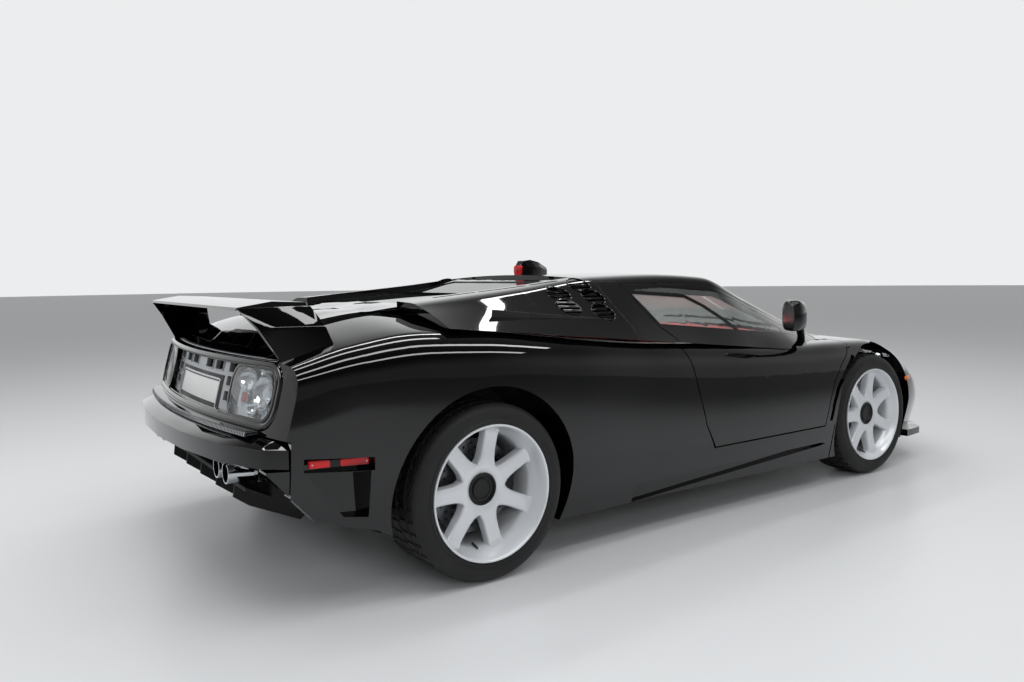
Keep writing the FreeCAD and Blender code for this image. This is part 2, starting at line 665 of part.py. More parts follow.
def make_tail(out):
    lamp_size = TAIL_LAMP
    x0, x1 = TAIL_X - 100, TAIL_X + 300

    def lamp_zone(grow):
        s = lamp_size
        low, high = s["low"] - grow, s["high"] + grow
        return rounded_box(x0, x1, s["y0"] - grow, s["y1"] + grow, low, high, s["r"] + grow)

    ring = tail_window(TAIL_OPEN, SEAT).cut(tail_window(TAIL_INNER))
    moulding = tail_layer(-4, TAIL_DEPTH - SEAT).common(ring)
    ledge = tail_layer(-40, 20).common(box(x0, x1, -700, 700, 589, 606))
    out["tail_moulding"] = biggest(joined([moulding, ledge]))

    panel = tail_layer(TAIL_DEPTH, TAIL_DEPTH + 16).common(tail_window(TAIL_OPEN, SEAT))
    for y, z, half_w, half_h in TAIL_HOLES:
        for at in (y, -y):
            panel = panel.cut(box(x0, x1, at - half_w, at + half_w, z - half_h, z + half_h))
    recess = tail_layer(TAIL_DEPTH - 10, TAIL_DEPTH + 8)
    half = PLATE["y"] + 26
    panel = panel.cut(recess.common(box(x0, x1, -half, half, PLATE["low"] - 6, PLATE["high"] + 12)))
    rim = tail_layer(12, TAIL_DEPTH + 8).common(lamp_zone(10).cut(lamp_zone(0)))
    rims = [rim, mirrored(rim)]
    out["tail_panel"] = biggest(joined([panel] + rims))
    lens = biggest(tail_layer(6, TAIL_DEPTH - SEAT).common(lamp_zone(-SEAT)))
    marker = side_prism(MARKER, 862, 884)
    out["rear_lamps"] = Part.makeCompound([lens, mirrored(lens), marker, mirrored(marker)])
    plate_zone = box(x0, x1, -PLATE["y"], PLATE["y"], PLATE["low"], PLATE["high"])
    out["plate"] = biggest(tail_layer(TAIL_DEPTH - 2, TAIL_DEPTH + 8 - SEAT).common(plate_zone))


def bumper_ring(z, shrink):
    outer, inner = [], []
    for x, y, back_x, back_y in BUMPER:
        outer.append((x + (back_x - x) * shrink, y + (back_y - y) * shrink, z))
        inner.append((back_x, back_y, z))
    end = [(TAIL_X + 88 * shrink, 0, z)]
    outer = outer + end + [(x, -y, z) for x, y, z in reversed(outer)]
    inner = inner + [(TAIL_X + 88, 0, z)] + [(x, -y, z) for x, y, z in reversed(inner)]
    return outer + list(reversed(inner))


def make_rear(out, whole):
    rings = [bumper_ring(z, shrink) for z, shrink in BUMPER_HEIGHTS]
    bar = through(rings)
    near, far = TAIL_X + 142, TAIL_X + 210
    wedge = whole.common(side_prism([(near, 495), (far, 495), (far, 412), (near, 488)], 775, 1200))
    out["rear_bumper"] = biggest(joined([bar, wedge, mirrored(wedge)]))
    (x0, z0), (x1, z1) = UNDERCUT
    slope = (z1 - z0) / (x1 - x0)
    start = z0 + slope * (-1700 - x0)
    floor = side_prism([(-1700, start), (x1, z1), (x1, z1 - 14), (-1700, start - 14)], -600, 600)
    fin = [(-1760, 236), (-2040, 380), (-2045, 330), (-1990, 290), (-1800, 205)]
    fins = [side_prism(fin, y - 5, y + 5) for y in (-440, -220, 0, 220, 440)]
    out["diffuser"] = joined([floor] + fins)
    pipes = []
    for y in [s * at for at in EXHAUST_Y for s in (1, -1)]:
        pipe = Part.makeCylinder(EXHAUST_R, 115, V(TAIL_X + 105, y, EXHAUST_Z), V(1, 0, 0))
        bore = Part.makeCylinder(EXHAUST_R - 5, 90, V(TAIL_X + 100, y, EXHAUST_Z), V(1, 0, 0))
        pipes.append(pipe.cut(bore))
    silencer = box(RAIL_END_X - 10, RAIL_END_X - 40, -580, 580, 405, 480)
    hangers = both(box(RAIL_END_X - 10, RAIL_END_X, 300, 340, 420, 460))
    out["exhaust"] = biggest(joined(pipes + [silencer]).fuse(hangers))


def make_chassis(out):
    well = REAR_WELL_Y
    parts = [
        box(BULKHEAD_X, FOOTWELL_X + 20, -SILL_Y, SILL_Y, FLOOR_Z, FLOOR_TOP),
        box(BULKHEAD_X, FIREWALL_X + 30, -FRONT_WELL_Y, FRONT_WELL_Y, FLOOR_Z, FLOOR_TOP),
        both(box(-860, 880, TUB_Y, SILL_Y, FLOOR_Z, SILL_Z)),
        box(BULKHEAD_X - 30, BULKHEAD_X, -well, well, FLOOR_Z, 850),
        box(FIREWALL_X, FIREWALL_X + 30, -FRONT_WELL_Y, FRONT_WELL_Y, FLOOR_Z, 712),
        both(box(FOOTWELL_X, FOOTWELL_X + 20, FRONT_WELL_Y - WALL, TUB_Y, FLOOR_Z, 690)),
        box(RAIL_END_X, BULKHEAD_X, -well, well, FLOOR_TOP, 180),
        both(box(RAIL_END_X, FRAME_END_X, well - WALL, well, FLOOR_TOP, 580)),
        both(box(FRAME_END_X, BULKHEAD_X, well - WALL, well, FLOOR_TOP, 850)),
        box(RAIL_END_X, RAIL_END_X + 40, -well, well, FLOOR_TOP, 580),
        both(box(BUMPER[2][2] - 40, RAIL_END_X, 520, 560, 500, 560)),
        box(FIREWALL_X, 1720, -FRONT_WELL_Y, FRONT_WELL_Y, FLOOR_TOP, 180),
        both(side_prism([(FOOTWELL_X, 690)] + FRONT_LEDGE + [(1720, FLOOR_TOP), (FOOTWELL_X, FLOOR_TOP)],
                        FRONT_WELL_Y - WALL, FRONT_WELL_Y)),
        box(1680, 1720, -FRONT_WELL_Y, FRONT_WELL_Y, FLOOR_TOP, 520),
    ]
    w = WHEELS["front"]
    for z in (w["r"] - 132, w["r"] + 112):
        arm = box(w["x"] - 26, w["x"] + 26, FRONT_WELL_Y, STEER_Y + 18, z, z + 20)
        parts.append(both(arm))
    (x0, z0), (x1, z1) = UNDERCUT
    under = side_prism([(x0, z0), (x1, z1), (x1, 0), (x0, 0)], -1200, 1200)
    out["chassis"] = joined(parts).cut(under).cut(out["rear_bumper"])


def turned(rings, x, z):
    """A solid turned about an axle along Y, from rows of y and radius."""
    wires = []
    for y, r in rings:
        ring = []
        for i in range(TURN_FACES):
            a = 2 * math.pi * i / TURN_FACES
            ring.append(V(x + r * math.cos(a), y, z + r * math.sin(a)))
        wires.append(Part.makePolygon(ring + ring[:1]))
    return Part.makeLoft(wires, True, True)


def spoke(x, z, face):
    """The spoke that points up, with its edges drawn in at the face."""
    rows = []
    for at, half, deep, thick in SPOKE:
        front = face - deep
        back = front - thick
        rows.append([(x - half, back, z + at), (x - half, front - 8, z + at), (x - half + 10, front, z + at),
                     (x + half - 10, front, z + at), (x + half, front - 8, z + at), (x + half, back, z + at)])
    return through(rows)


def make_wheels(out):
    for name, w in WHEELS.items():
        x, r, rim, lip = w["x"], w["r"], w["rim"], w["lip"]
        outer = w["face"]
        inner = outer - w["width"]
        out["tyre_" + name] = turned(
            [(inner, rim + 26), (inner + 26, r), (outer - 26, r), (outer, rim + 26)], x, r,
        ).cut(turned([(inner - 1, rim + SEAT), (outer + 1, rim + SEAT)], x, r))
        barrel = turned([(inner + 8, rim), (outer - 2, rim)], x, r)
        hollow = turned([(inner, rim - 26), (outer - lip - 20, rim - 26), (outer, rim - 10)], x, r)
        face = outer - lip
        hub = cylinder_y(x, r, 66, face - 60, face - 4).cut(cylinder_y(x, r, 40, face - 26, face))
        spokes = []
        for i in range(SPOKES):
            blade = spoke(x, r, face)
            blade.rotate(V(x, 0, r), V(0, 1, 0), 360.0 / SPOKES * i)
            spokes.append(blade)
        disc = turned([(face - 110, DISC_R), (face - 80, DISC_R)], x, r)
        neck = cylinder_y(x, r, 52, face - 100, face - 50)
        out["wheel_" + name] = joined([barrel.cut(hollow), hub, neck, disc] + spokes)
        hub_in = face - 110
        knuckle = [
            cylinder_y(x, r, 34, hub_in - 60, hub_in - SEAT),
            box(x - 30, x + 30, hub_in - 50, hub_in - 15, r - 105, r + 105),
            box(x + 120, x + 180, hub_in - 50, hub_in - 6, r - 60, r + 60),
            box(x + 20, x + 125, hub_in - 50, hub_in - 15, r - 25, r + 25),
        ]
        if name == "front":
            knuckle.append(Part.makeCylinder(14, 224 - 2 * SEAT, V(x, STEER_Y, r - 112 + SEAT)))
            out["knuckle_front"] = joined(knuckle)
        else:
            for z in (r - 100, r + 80):
                knuckle.append(box(x - 26, x + 26, REAR_WELL_Y, hub_in - 15, z, z + 20))
            knuckle.append(cylinder_y(x, r, 22, REAR_WELL_Y + SEAT, hub_in - 60))
            out["rear_uprights"] = pair(joined(knuckle))


def make_cabin(out):
    floor = FLOOR_TOP
    cushion = side_prism([(-330, floor), (190, floor), (190, 285), (150, 305), (-330, 262)], 180, 560)
    bolster = side_prism([(-330, floor), (190, floor), (160, 330), (-330, 320)], 130, 182)
    back = side_prism([(-330, floor), (-220, 240), (-322, 700), (-440, 700), (-430, 400)], 180, 560)
    wing_side = [(-330, floor), (-170, 240), (-262, 600), (-300, 690), (-430, 690), (-425, 400)]
    wing = side_prism(wing_side, 130, 182)
    head = side_prism([(-330, 690), (-352, 850), (-425, 850), (-440, 690)], 250, 490)
    parts = [cushion, back, head, bolster, wing]
    parts += [p.mirror(V(0, 370, 0), V(0, 1, 0)) for p in (bolster, wing)]
    out["seats"] = pair(joined(parts))
    dash_side = [(FOOTWELL_X, 300), (FOOTWELL_X, 690), (640, 702), (540, 690)]
    dash_side += [(505, 640), (560, 520), (760, 400), (760, 300)]
    dash = side_prism(dash_side, -690, 690)
    console_side = [(-440, floor), (-440, 340), (300, 330), (600, 480), (780, 480), (780, floor)]
    console = side_prism(console_side, -105, 105)
    out["dashboard"] = joined([dash, console])
    middle = V(455, 365, 640)
    ring = []
    for i in range(24):
        a = 2 * math.pi * i / 24
        ring.append((math.cos(a), math.sin(a)))
    rim = []
    for r in (189, 163):
        points = [V(-12, c * r, s * r) for c, s in ring]
        rim.append(Part.Face(Part.makePolygon(points + points[:1])).extrude(V(24, 0, 0)))
    spokes = [box(-8, 8, -170, 170, -20, 20), box(-8, 8, -18, 18, -170, 0)]
    wheel = joined([rim[0].cut(rim[1]), box(-20, 190, -26, 26, -26, 26)] + spokes)
    wheel.rotate(V(0, 0, 0), V(0, 1, 0), 25)
    wheel.translate(middle)
    out["steering_wheel"] = biggest(wheel.cut(dash))
    out["engine"] = box(-1180, -560, -270, 270, 180, 760)


def make_wing(out, whole):
    plate = through(END_PLATE)
    wing = joined([side_prism(BLADE, -BLADE_Y, BLADE_Y), plate, mirrored(plate)])
    wing = biggest(wing.cut(whole))
    wing.translate(V(0, 0, SEAT))
    out["wing"] = wing


def make_mirror(out):
    arm_rows = []
    for x, y, z, long, wide, high in MIRROR_ARM:
        low, top = (x - long, z - high), (x + long, z + high)
        ring = [(low, -wide), (low, wide), (top, wide), (top, -wide)]
        arm_rows.append([(end[0], y + out_by, end[1]) for end, out_by in ring])
    head_rows = []
    for x, y, z, wide, high in MIRROR_HEAD:
        a, b = wide * 0.6, high * 0.6
        ring = [(-wide, -b), (-a, -high), (a, -high), (wide, -b)]
        ring += [(-y_out, -z_up) for y_out, z_up in ring]
        head_rows.append([(x, y + dy, z + dz) for dy, dz in ring])
    mirror = joined([through(arm_rows), through(head_rows)])
    out["mirror"] = biggest(mirror.cut(out["door"]).cut(out["door_glass"]))


def main():
    out = {}
    whole = lower_body()
    make_body(out, whole)
    make_tail(out)
    make_rear(out, whole)
    make_chassis(out)
    make_wheels(out)
    make_cabin(out)
    make_wing(out, whole)
    make_mirror(out)
    os.makedirs("parts", exist_ok=True)
    paired = ["fender", "quarter", "door", "door_glass", "mirror",
              "tyre_front", "tyre_rear", "wheel_front", "wheel_rear", "knuckle_front"]
    for name, shape in out.items():
        if name in paired:
            shape.exportStep("parts/" + name + "_left.step")
            mirrored(shape).exportStep("parts/" + name + "_right.step")
        else:
            shape.exportStep("parts/" + name + ".step")


if __name__ == "__main__":
    main()
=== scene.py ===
"""A low, black mid-engined two-door car: finishes, body skins, wheels, lamps and cabin."""
import logging
import math
from collections.abc import Callable, Iterable
from dataclasses import dataclass, field
from enum import Enum

import bmesh
import bpy
from mathutils import Matrix, Vector
from mathutils.bvhtree import BVHTree
from mathutils.interpolate import poly_3d_calc


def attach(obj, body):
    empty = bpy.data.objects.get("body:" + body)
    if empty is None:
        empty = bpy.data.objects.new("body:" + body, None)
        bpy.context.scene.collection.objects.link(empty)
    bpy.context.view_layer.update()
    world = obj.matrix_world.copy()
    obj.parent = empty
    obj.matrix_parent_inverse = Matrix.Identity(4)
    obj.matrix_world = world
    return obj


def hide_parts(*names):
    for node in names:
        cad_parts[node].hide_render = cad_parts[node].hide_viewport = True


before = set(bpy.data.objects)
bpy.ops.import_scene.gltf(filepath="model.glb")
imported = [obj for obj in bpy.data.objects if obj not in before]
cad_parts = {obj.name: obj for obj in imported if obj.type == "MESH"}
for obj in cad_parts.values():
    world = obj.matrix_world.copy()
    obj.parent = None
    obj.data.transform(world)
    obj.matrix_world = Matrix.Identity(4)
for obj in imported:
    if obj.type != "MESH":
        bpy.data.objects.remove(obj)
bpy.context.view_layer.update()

Shape = bmesh.types.BMesh
Triple = tuple[float, float, float]
Sides = tuple[float, float, float, float]
Profile = list[tuple[float, float]]
MM = 0.001
AXIS_GAP = 0.01
FULL_TURN = 2 * math.pi
ORIGIN = (0, 0, 0)
SIDES = (("left", 1.0), ("right", -1.0))
LOG = logging.getLogger("car")

# Lower body: x, bottom z, sill y, waist y, waist z, shoulder y, shoulder z, round reach, crown z
LOWER = [
    (-2120, 300, 780, 830, 560, 815, 772, 60, 815), (-1970, 230, 840, 885, 560, 868, 812, 75, 872),
    (-1760, 180, 880, 935, 540, 925, 865, 105, 955), (-1500, 150, 895, 968, 520, 952, 895, 125, 992),
    (-1270, 150, 905, 978, 510, 960, 890, 130, 974), (-850, 150, 900, 968, 475, 947, 850, 125, 932),
    (-400, 150, 890, 948, 430, 920, 808, 115, 887), (100, 146, 888, 940, 405, 909, 771, 110, 837),
    (750, 142, 888, 942, 400, 912, 735, 100, 772), (1000, 140, 888, 944, 410, 914, 732, 100, 764),
    (1280, 140, 885, 944, 420, 914, 728, 100, 750), (1500, 140, 870, 930, 415, 895, 680, 100, 708),
    (1700, 140, 825, 890, 400, 855, 588, 105, 640), (1880, 140, 755, 822, 370, 785, 508, 80, 570),
    (2020, 145, 645, 715, 340, 680, 445, 60, 505), (2130, 150, 500, 565, 320, 530, 400, 40, 450),
    (2200, 170, 330, 390, 305, 360, 360, 28, 400),
]
# Upper body: x, y at the belt, y of the roof edge, z of the roof edge, round reach, crown z
UPPER = [
    (-1400, 812, 630, 1008, 40, 1020), (-850, 824, 590, 1055, 55, 1073), (-400, 812, 560, 1098, 60, 1117),
    (-50, 806, 548, 1105, 55, 1122), (300, 812, 572, 1088, 48, 1109), (520, 812, 610, 987, 42, 1023),
    (760, 802, 655, 872, 35, 912), (1010, 735, 700, 765, 15, 795),
]
# The belt line's height at x 0, and how much it falls for each mm forwards
BELT_Z = 843.5
BELT_FALL = 0.1


def linear(colour: str) -> tuple[float, float, float, float]:
    """Turns an sRGB hex colour to the linear values that the nodes take."""
    parts = [int(colour[i:i + 2], 16) / 255 for i in (1, 3, 5)]
    return (*[c / 12.92 if c <= 0.04045 else ((c + 0.055) / 1.055) ** 2.4 for c in parts], 1.0)


def add(tree: bpy.types.NodeTree, kind: str, inputs: dict | None = None,
        **settings: object) -> bpy.types.Node:
    """Adds a node with its settings, values and links.

    Args:
        tree: The node tree.
        kind: The node's type name.
        inputs: Values or output sockets, by input name or number.
        settings: The node's own attributes.

    Returns:
        The new node.
    """
    node = tree.nodes.new(kind)
    for name, value in settings.items():
        setattr(node, name, value)
    for key, value in (inputs or {}).items():
        if isinstance(value, bpy.types.NodeSocket):
            tree.links.new(value, node.inputs[key])
        else:
            node.inputs[key].default_value = value
    return node


class Surface(Enum):
    """How a finish's surface was made."""

    SPRAYED = "sprayed"
    MOULDED = "moulded"
    CAST = "cast"
    TURNED = "turned"
    GRAINED = "grained"
    WOVEN = "woven"
    PRISMED = "prismed"
    FLOATED = "floated"


# The surfaces drawn by two crossed waves: their directions, the waves' form and how they combine
CROSSED = {
    Surface.WOVEN: (("Y", "DIAGONAL"), "SIN", "MULTIPLY"),
    Surface.PRISMED: (("Y", "Z"), "TRI", "ADD"),
}
WAVES_PER_SCALE = 20


@dataclass(frozen=True)
class Finish:
    """One material: what it is, its two shades, how it shines and the size of its pattern."""

    name: str
    surface: Surface
    shade: str
    other_shade: str
    rough: tuple[float, float]
    pattern_mm: float
    relief: float = 0.1
    metallic: float = 0.0
    ior: float = 1.5
    coat: float = 0.0
    transmission: float = 0.0
    edge_mm: float = 0.0
    glow: float = 0.0

    def height(self, tree: bpy.types.NodeTree, place: bpy.types.NodeSocket) -> bpy.types.NodeSocket:
        """Gives the pattern's height, from 0 to 1, for this kind of surface.

        Args:
            tree: The material's node tree.
            place: The coordinates that the pattern lies on.

        Returns:
            The socket that holds the height.
        """
        spot = {"Vector": place, "Scale": 1.0 / (self.pattern_mm * MM)}
        if self.surface is Surface.GRAINED:
            spot["Randomness"] = 0.9
            cells = add(tree, "ShaderNodeTexVoronoi", spot, feature="DISTANCE_TO_EDGE").outputs["Distance"]
            return add(tree, "ShaderNodeMapRange", {0: cells, 2: 0.25}).outputs[0]
        if self.surface in CROSSED:
            directions, form, blend = CROSSED[self.surface]
            spot["Scale"] /= WAVES_PER_SCALE
            waves = [
                add(tree, "ShaderNodeTexWave", spot, bands_direction=way, wave_profile=form)
                for way in directions
            ]
            both = {i: wave.outputs["Fac"] for i, wave in enumerate(waves)}
            return add(tree, "ShaderNodeMath", both, operation=blend).outputs[0]
        if self.surface is Surface.TURNED:
            stretch = {"Vector": place, "Scale": (1.0, 12.0, 1.0)}
            spot["Vector"] = add(tree, "ShaderNodeMapping", stretch).outputs[0]
        spot["Detail"] = 4.0
        return add(tree, "ShaderNodeTexNoise", spot).outputs["Fac"]

    def material(self) -> bpy.types.Material:
        """Builds the material once and gives it again after that.

        Returns:
            The material.
        """
        made = bpy.data.materials.get(self.name)
        if made:
            return made
        made = bpy.data.materials.new(self.name)
        made.use_nodes = True
        tree = made.node_tree
        tree.nodes.clear()
        inputs = {
            "Base Color": linear(self.shade), "Roughness": self.rough[0], "Metallic": self.metallic,
            "IOR": self.ior, "Coat Weight": self.coat, "Coat Roughness": 0.02,
            "Transmission Weight": self.transmission, "Emission Color": linear(self.shade),
            "Emission Strength": self.glow,
        }
        if self.other_shade != self.shade:
            place = add(tree, "ShaderNodeTexCoord").outputs["Object"]
            height = self.height(tree, place)
            patches = {"Vector": place, "Scale": 7.0, "Detail": 3.0}
            broad = add(tree, "ShaderNodeTexNoise", patches).outputs["Fac"]
            # With deep relief the colour follows the pattern's height: the prismed reflector's white tops are
            # painted glints, and the woven mesh's black holes are painted shade
            colour = add(tree, "ShaderNodeMix", {0: height if self.relief > 0.3 else broad}, data_type="RGBA")
            colour.inputs[6].default_value = linear(self.shade)
            colour.inputs[7].default_value = linear(self.other_shade)
            rough = {0: broad, 1: 0.3, 2: 0.7, 3: self.rough[0], 4: self.rough[1]}
            bump = {"Height": height, "Strength": self.relief, "Distance": self.pattern_mm * MM * 0.2}
            if self.edge_mm:
                soft = add(tree, "ShaderNodeBevel", {"Radius": self.edge_mm * MM}, samples=4)
                bump["Normal"] = soft.outputs[0]
            inputs["Base Color"] = colour.outputs[2]
            inputs["Roughness"] = add(tree, "ShaderNodeMapRange", rough).outputs[0]
            inputs["Normal"] = add(tree, "ShaderNodeBump", bump).outputs[0]
        shader = add(tree, "ShaderNodeBsdfPrincipled", inputs)
        add(tree, "ShaderNodeOutputMaterial", {"Surface": shader.outputs[0]})
        return made


class Finishes:
    """Every finish on the car, and the floor's."""

    # Two-pack enamel under clear lacquer: deep black, mirror-like, soft rounded panel edges
    paint = Finish("black_lacquer_paint", Surface.SPRAYED, "#030304", "#050506", (0.03, 0.05), 6.0, 0.006,
                   ior=1.2, coat=1.0, edge_mm=1.6)
    # Moulded ABS with a fine spark texture: grey-black, dull sheen
    trim = Finish("moulded_black_abs", Surface.MOULDED, "#0C0C0D", "#151516", (0.4, 0.55), 0.8, 0.15)
    # Powder-coated steel under the body: matt, slightly dusty
    structure = Finish("powder_coated_steel", Surface.CAST, "#141415", "#1E1E1F", (0.6, 0.75), 2.0, 0.2)
    # Laminated float glass, the same all over: nearly clear, a breath of grey-green
    glass = Finish("tinted_float_glass", Surface.FLOATED, "#EDF2F0", "#EDF2F0", (0.0, 0.0), 60.0,
                   ior=1.45, transmission=1.0)
    # Dark float glass over the engine: little shows through it
    deck_glass = Finish("dark_float_glass", Surface.FLOATED, "#3A4241", "#3A4241", (0.0, 0.0), 60.0,
                        ior=1.45, transmission=0.9)
    # Injected polycarbonate lamp cover: clear, with a faint haze
    lens = Finish("clear_polycarbonate", Surface.FLOATED, "#F0F3F5", "#F0F3F5", (0.02, 0.02), 30.0,
                  ior=1.55, transmission=1.0)
    # Lamp insert pressed in small pyramids, grey, with painted glints: the pyramids' tops are painted white
    prism = Finish("prismed_reflector", Surface.PRISMED, "#9CA1A6", "#E9EDF0", (0.08, 0.16), 9.0, 0.7,
                   metallic=0.75)
    # Moulded red acrylic over a bulb: deep red, prisms inside, a faint glow of its own
    red_lens = Finish("red_acrylic", Surface.PRISMED, "#7A0508", "#C4161A", (0.05, 0.12), 6.0, 0.4,
                      transmission=0.15, glow=0.05)
    # The same moulding in amber, for indicators
    amber_lens = Finish("amber_acrylic", Surface.PRISMED, "#B8500A", "#E87A18", (0.05, 0.12), 6.0, 0.4,
                        transmission=0.15, glow=0.05)
    # Painted cast aluminium wheels: bright silver with a soft clear coat
    alloy = Finish("silver_cast_aluminium", Surface.CAST, "#D3D6DA", "#DDE0E3", (0.28, 0.34), 1.5, 0.02,
                   metallic=0.35, coat=0.4)
    # Satin anodised tail plate: grey silver with a soft, broad shine
    silver = Finish("satin_anodised_aluminium", Surface.MOULDED, "#A6AAAE", "#B2B6BA", (0.26, 0.36), 1.2,
                    0.03, metallic=0.7)
    # Black chrome moulding: dark mirror
    chrome = Finish("black_chrome", Surface.MOULDED, "#1E1F22", "#2A2B2E", (0.05, 0.1), 40.0, 0.01,
                    metallic=1.0, coat=0.5)
    # Drawn and polished steel tube and mirror glass: bright, nearly a mirror
    bright = Finish("polished_stainless_steel", Surface.TURNED, "#BFC2C5", "#CDD0D2", (0.08, 0.16), 3.0, 0.02,
                    metallic=1.0)
    # Machined iron disc: fine turning marks
    iron = Finish("machined_cast_iron", Surface.TURNED, "#6E7073", "#8A8C8F", (0.28, 0.4), 0.9, 0.12,
                  metallic=0.9)
    # Hard anodised casting: charcoal, a little grainy
    caliper = Finish("hard_anodised_caliper", Surface.CAST, "#1B1C1E", "#262729", (0.35, 0.45), 1.6, 0.12,
                     metallic=0.4)
    # Tyre rubber: deep grey, matt, a little sheen on the shoulder
    rubber = Finish("tyre_rubber", Surface.MOULDED, "#121213", "#1B1B1C", (0.55, 0.72), 1.4, 0.18)
    # Grained hide: red, satin, fine creases
    leather = Finish("red_grained_leather", Surface.GRAINED, "#6E0D0F", "#A3191B", (0.38, 0.5), 2.2, 0.35)
    # Darker hide on the dashboard: less glare under the windscreen
    dark_leather = Finish("dark_red_grained_leather", Surface.GRAINED, "#4A0C0E", "#6E1517", (0.42, 0.55),
                          2.2, 0.35)
    # Woven wire, drawn at twice its real pitch so that the weave can be seen: grey wires, with the holes
    # painted black as the shade behind the weave
    mesh = Finish("woven_steel_mesh", Surface.WOVEN, "#050506", "#3A3B3D", (0.35, 0.5), 6.0, 0.8,
                  metallic=0.5)
    # Printed reflective sheet left blank: pale, a little glassy
    plate = Finish("pale_reflective_sheet", Surface.MOULDED, "#D4D6D6", "#E0E1E0", (0.3, 0.4), 2.5, 0.03)
    # Poured resin floor, the same all over: pale grey, a soft sheen
    floor = Finish("pale_resin_floor", Surface.FLOATED, "#C4C6C8", "#C4C6C8", (0.33, 0.33), 30.0)


def new_piece(name: str, bm: Shape, finish: Finish, body: str | None = "body", slot: str = "black_trim",
              turn: float = 35.0, stands_for: str | None = None) -> bpy.types.Object:
    """Makes an object of a finished bmesh, sets its finish and lets it ride.

    Args:
        name: The piece's name.
        bm: Its mesh, in metres in the car's frame; it is freed.
        finish: Its finish.
        body: The body that it rides on, or None for the floor.
        slot: The record's slot; not used.
        turn: Edges that turn by more degrees than this stay sharp.
        stands_for: The CAD node that it replaces, if any.

    Returns:
        The piece.
    """
    for edge in bm.edges:
        edge.smooth = edge.is_boundary or edge.calc_face_angle(0.0) < math.radians(turn)
    for face in bm.faces:
        face.smooth = True
    mesh = bpy.data.meshes.new(name)
    bm.to_mesh(mesh)
    bm.free()
    piece = bpy.data.objects.new(name, mesh)
    bpy.context.scene.collection.objects.link(piece)
    mesh.materials.append(finish.material())
    if body:
        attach(piece, body)
        LOG.info("%s rides on %s, %d faces", name, body, len(mesh.polygons))
    if stands_for:
        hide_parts(stands_for)
    return piece


def about(axis: str, degrees: float) -> Matrix:
    """A turn about one axis."""
    return Matrix.Rotation(math.radians(degrees), 3, axis)


def turned(bm: Shape, matrix: Matrix) -> Shape:
    """Turns a mesh about the origin."""
    bmesh.ops.rotate(bm, cent=ORIGIN, matrix=matrix, verts=bm.verts)
    return bm


def shifted(bm: Shape, x: float = 0.0, y: float = 0.0, z: float = 0.0) -> Shape:
    """Moves a mesh."""
    bmesh.ops.translate(bm, vec=(x, y, z), verts=bm.verts)
    return bm


def scaled(bm: Shape, x: float, y: float, z: float) -> Shape:
    """Stretches a mesh along each axis."""
    bmesh.ops.scale(bm, vec=(x, y, z), verts=bm.verts)
    return bm


def moved(bm: Shape, x: float, y: float, z: float) -> Shape:
    """Puts a mesh that is in mm at a place in mm, and turns it to metres."""
    return scaled(shifted(bm, x, y, z), MM, MM, MM)


def rounded(bm: Shape, edges: list[bmesh.types.BMEdge], radius: float, steps: int) -> Shape:
    """Rounds some edges of a mesh."""
    bmesh.ops.bevel(bm, geom=edges, offset=radius, affect="EDGES", segments=steps, profile=0.5, material=-1)
    return bm


def outward(bm: Shape) -> Shape:
    """Points the faces of a closed mesh outwards."""
    bmesh.ops.recalc_face_normals(bm, faces=bm.faces)
    return bm


def extruded(bm: Shape) -> list[bmesh.types.BMVert]:
    """Gives a sheet walls and a back, and returns the back's points."""
    grown = bmesh.ops.extrude_face_region(bm, geom=bm.faces[:])
    return [part for part in grown["geom"] if isinstance(part, bmesh.types.BMVert)]


def merge(parts: Iterable[Shape]) -> Shape:
    """Joins several meshes into one.

    Args:
        parts: The meshes; they are freed.

    Returns:
        The joined mesh.
    """
    whole = bmesh.new()
    for part in parts:
        held = bpy.data.meshes.new("held")
        part.to_mesh(held)
        part.free()
        whole.from_mesh(held)
        bpy.data.meshes.remove(held)
    return whole


def on_side(bm: Shape, hand: float) -> Shape:
    """Takes a mesh made for the left side to the side of the given hand.

    Args:
        bm: The mesh.
        hand: 1 for the left side, -1 for the right.

    Returns:
        The same mesh.
    """
    if hand < 0:
        scaled(bm, 1, -1, 1)
        bmesh.ops.reverse_faces(bm, faces=bm.faces)
    return bm


def on_both_sides(bm: Shape) -> Shape:
    """Joins a mesh with its twin on the car's other side."""
    return merge([on_side(bm.copy(), -1.0), bm])


def block(size: Triple, radius: float, steps: int = 2) -> Shape:
    """A block with round edges about the origin, in mm.

    Args:
        size: Its sizes along the axes.
        radius: The radius of its edges.
        steps: The facets of each edge.

    Returns:
        The block.
    """
    bm = bmesh.new()
    bmesh.ops.create_cube(bm, size=1.0)
    scaled(bm, *size)
    return rounded(bm, bm.edges[:], radius, steps)


def chain(points: list[Vector], size: tuple[float, float], overlap: float, radius: float) -> Shape:
    """Straight bars from point to point.

    Args:
        points: The points, in mm.
        size: The bars' width and height.
        overlap: How much longer each bar is than its stretch.
        radius: The radius of their edges.

    Returns:
        The bars, in metres.
    """
    bars = []
    for a, b in zip(points, points[1:]):
        bar = block((size[0], (b - a).length + overlap, size[1]), radius)
        turned(bar, (b - a).to_track_quat("Y", "Z").to_matrix())
        bars.append(moved(bar, *((a + b) / 2)))
    return merge(bars)


def around(sides: Sides, by: float) -> Sides:
    """Sides moved outwards."""
    return sides[0] - by, sides[1] + by, sides[2] - by, sides[3] + by


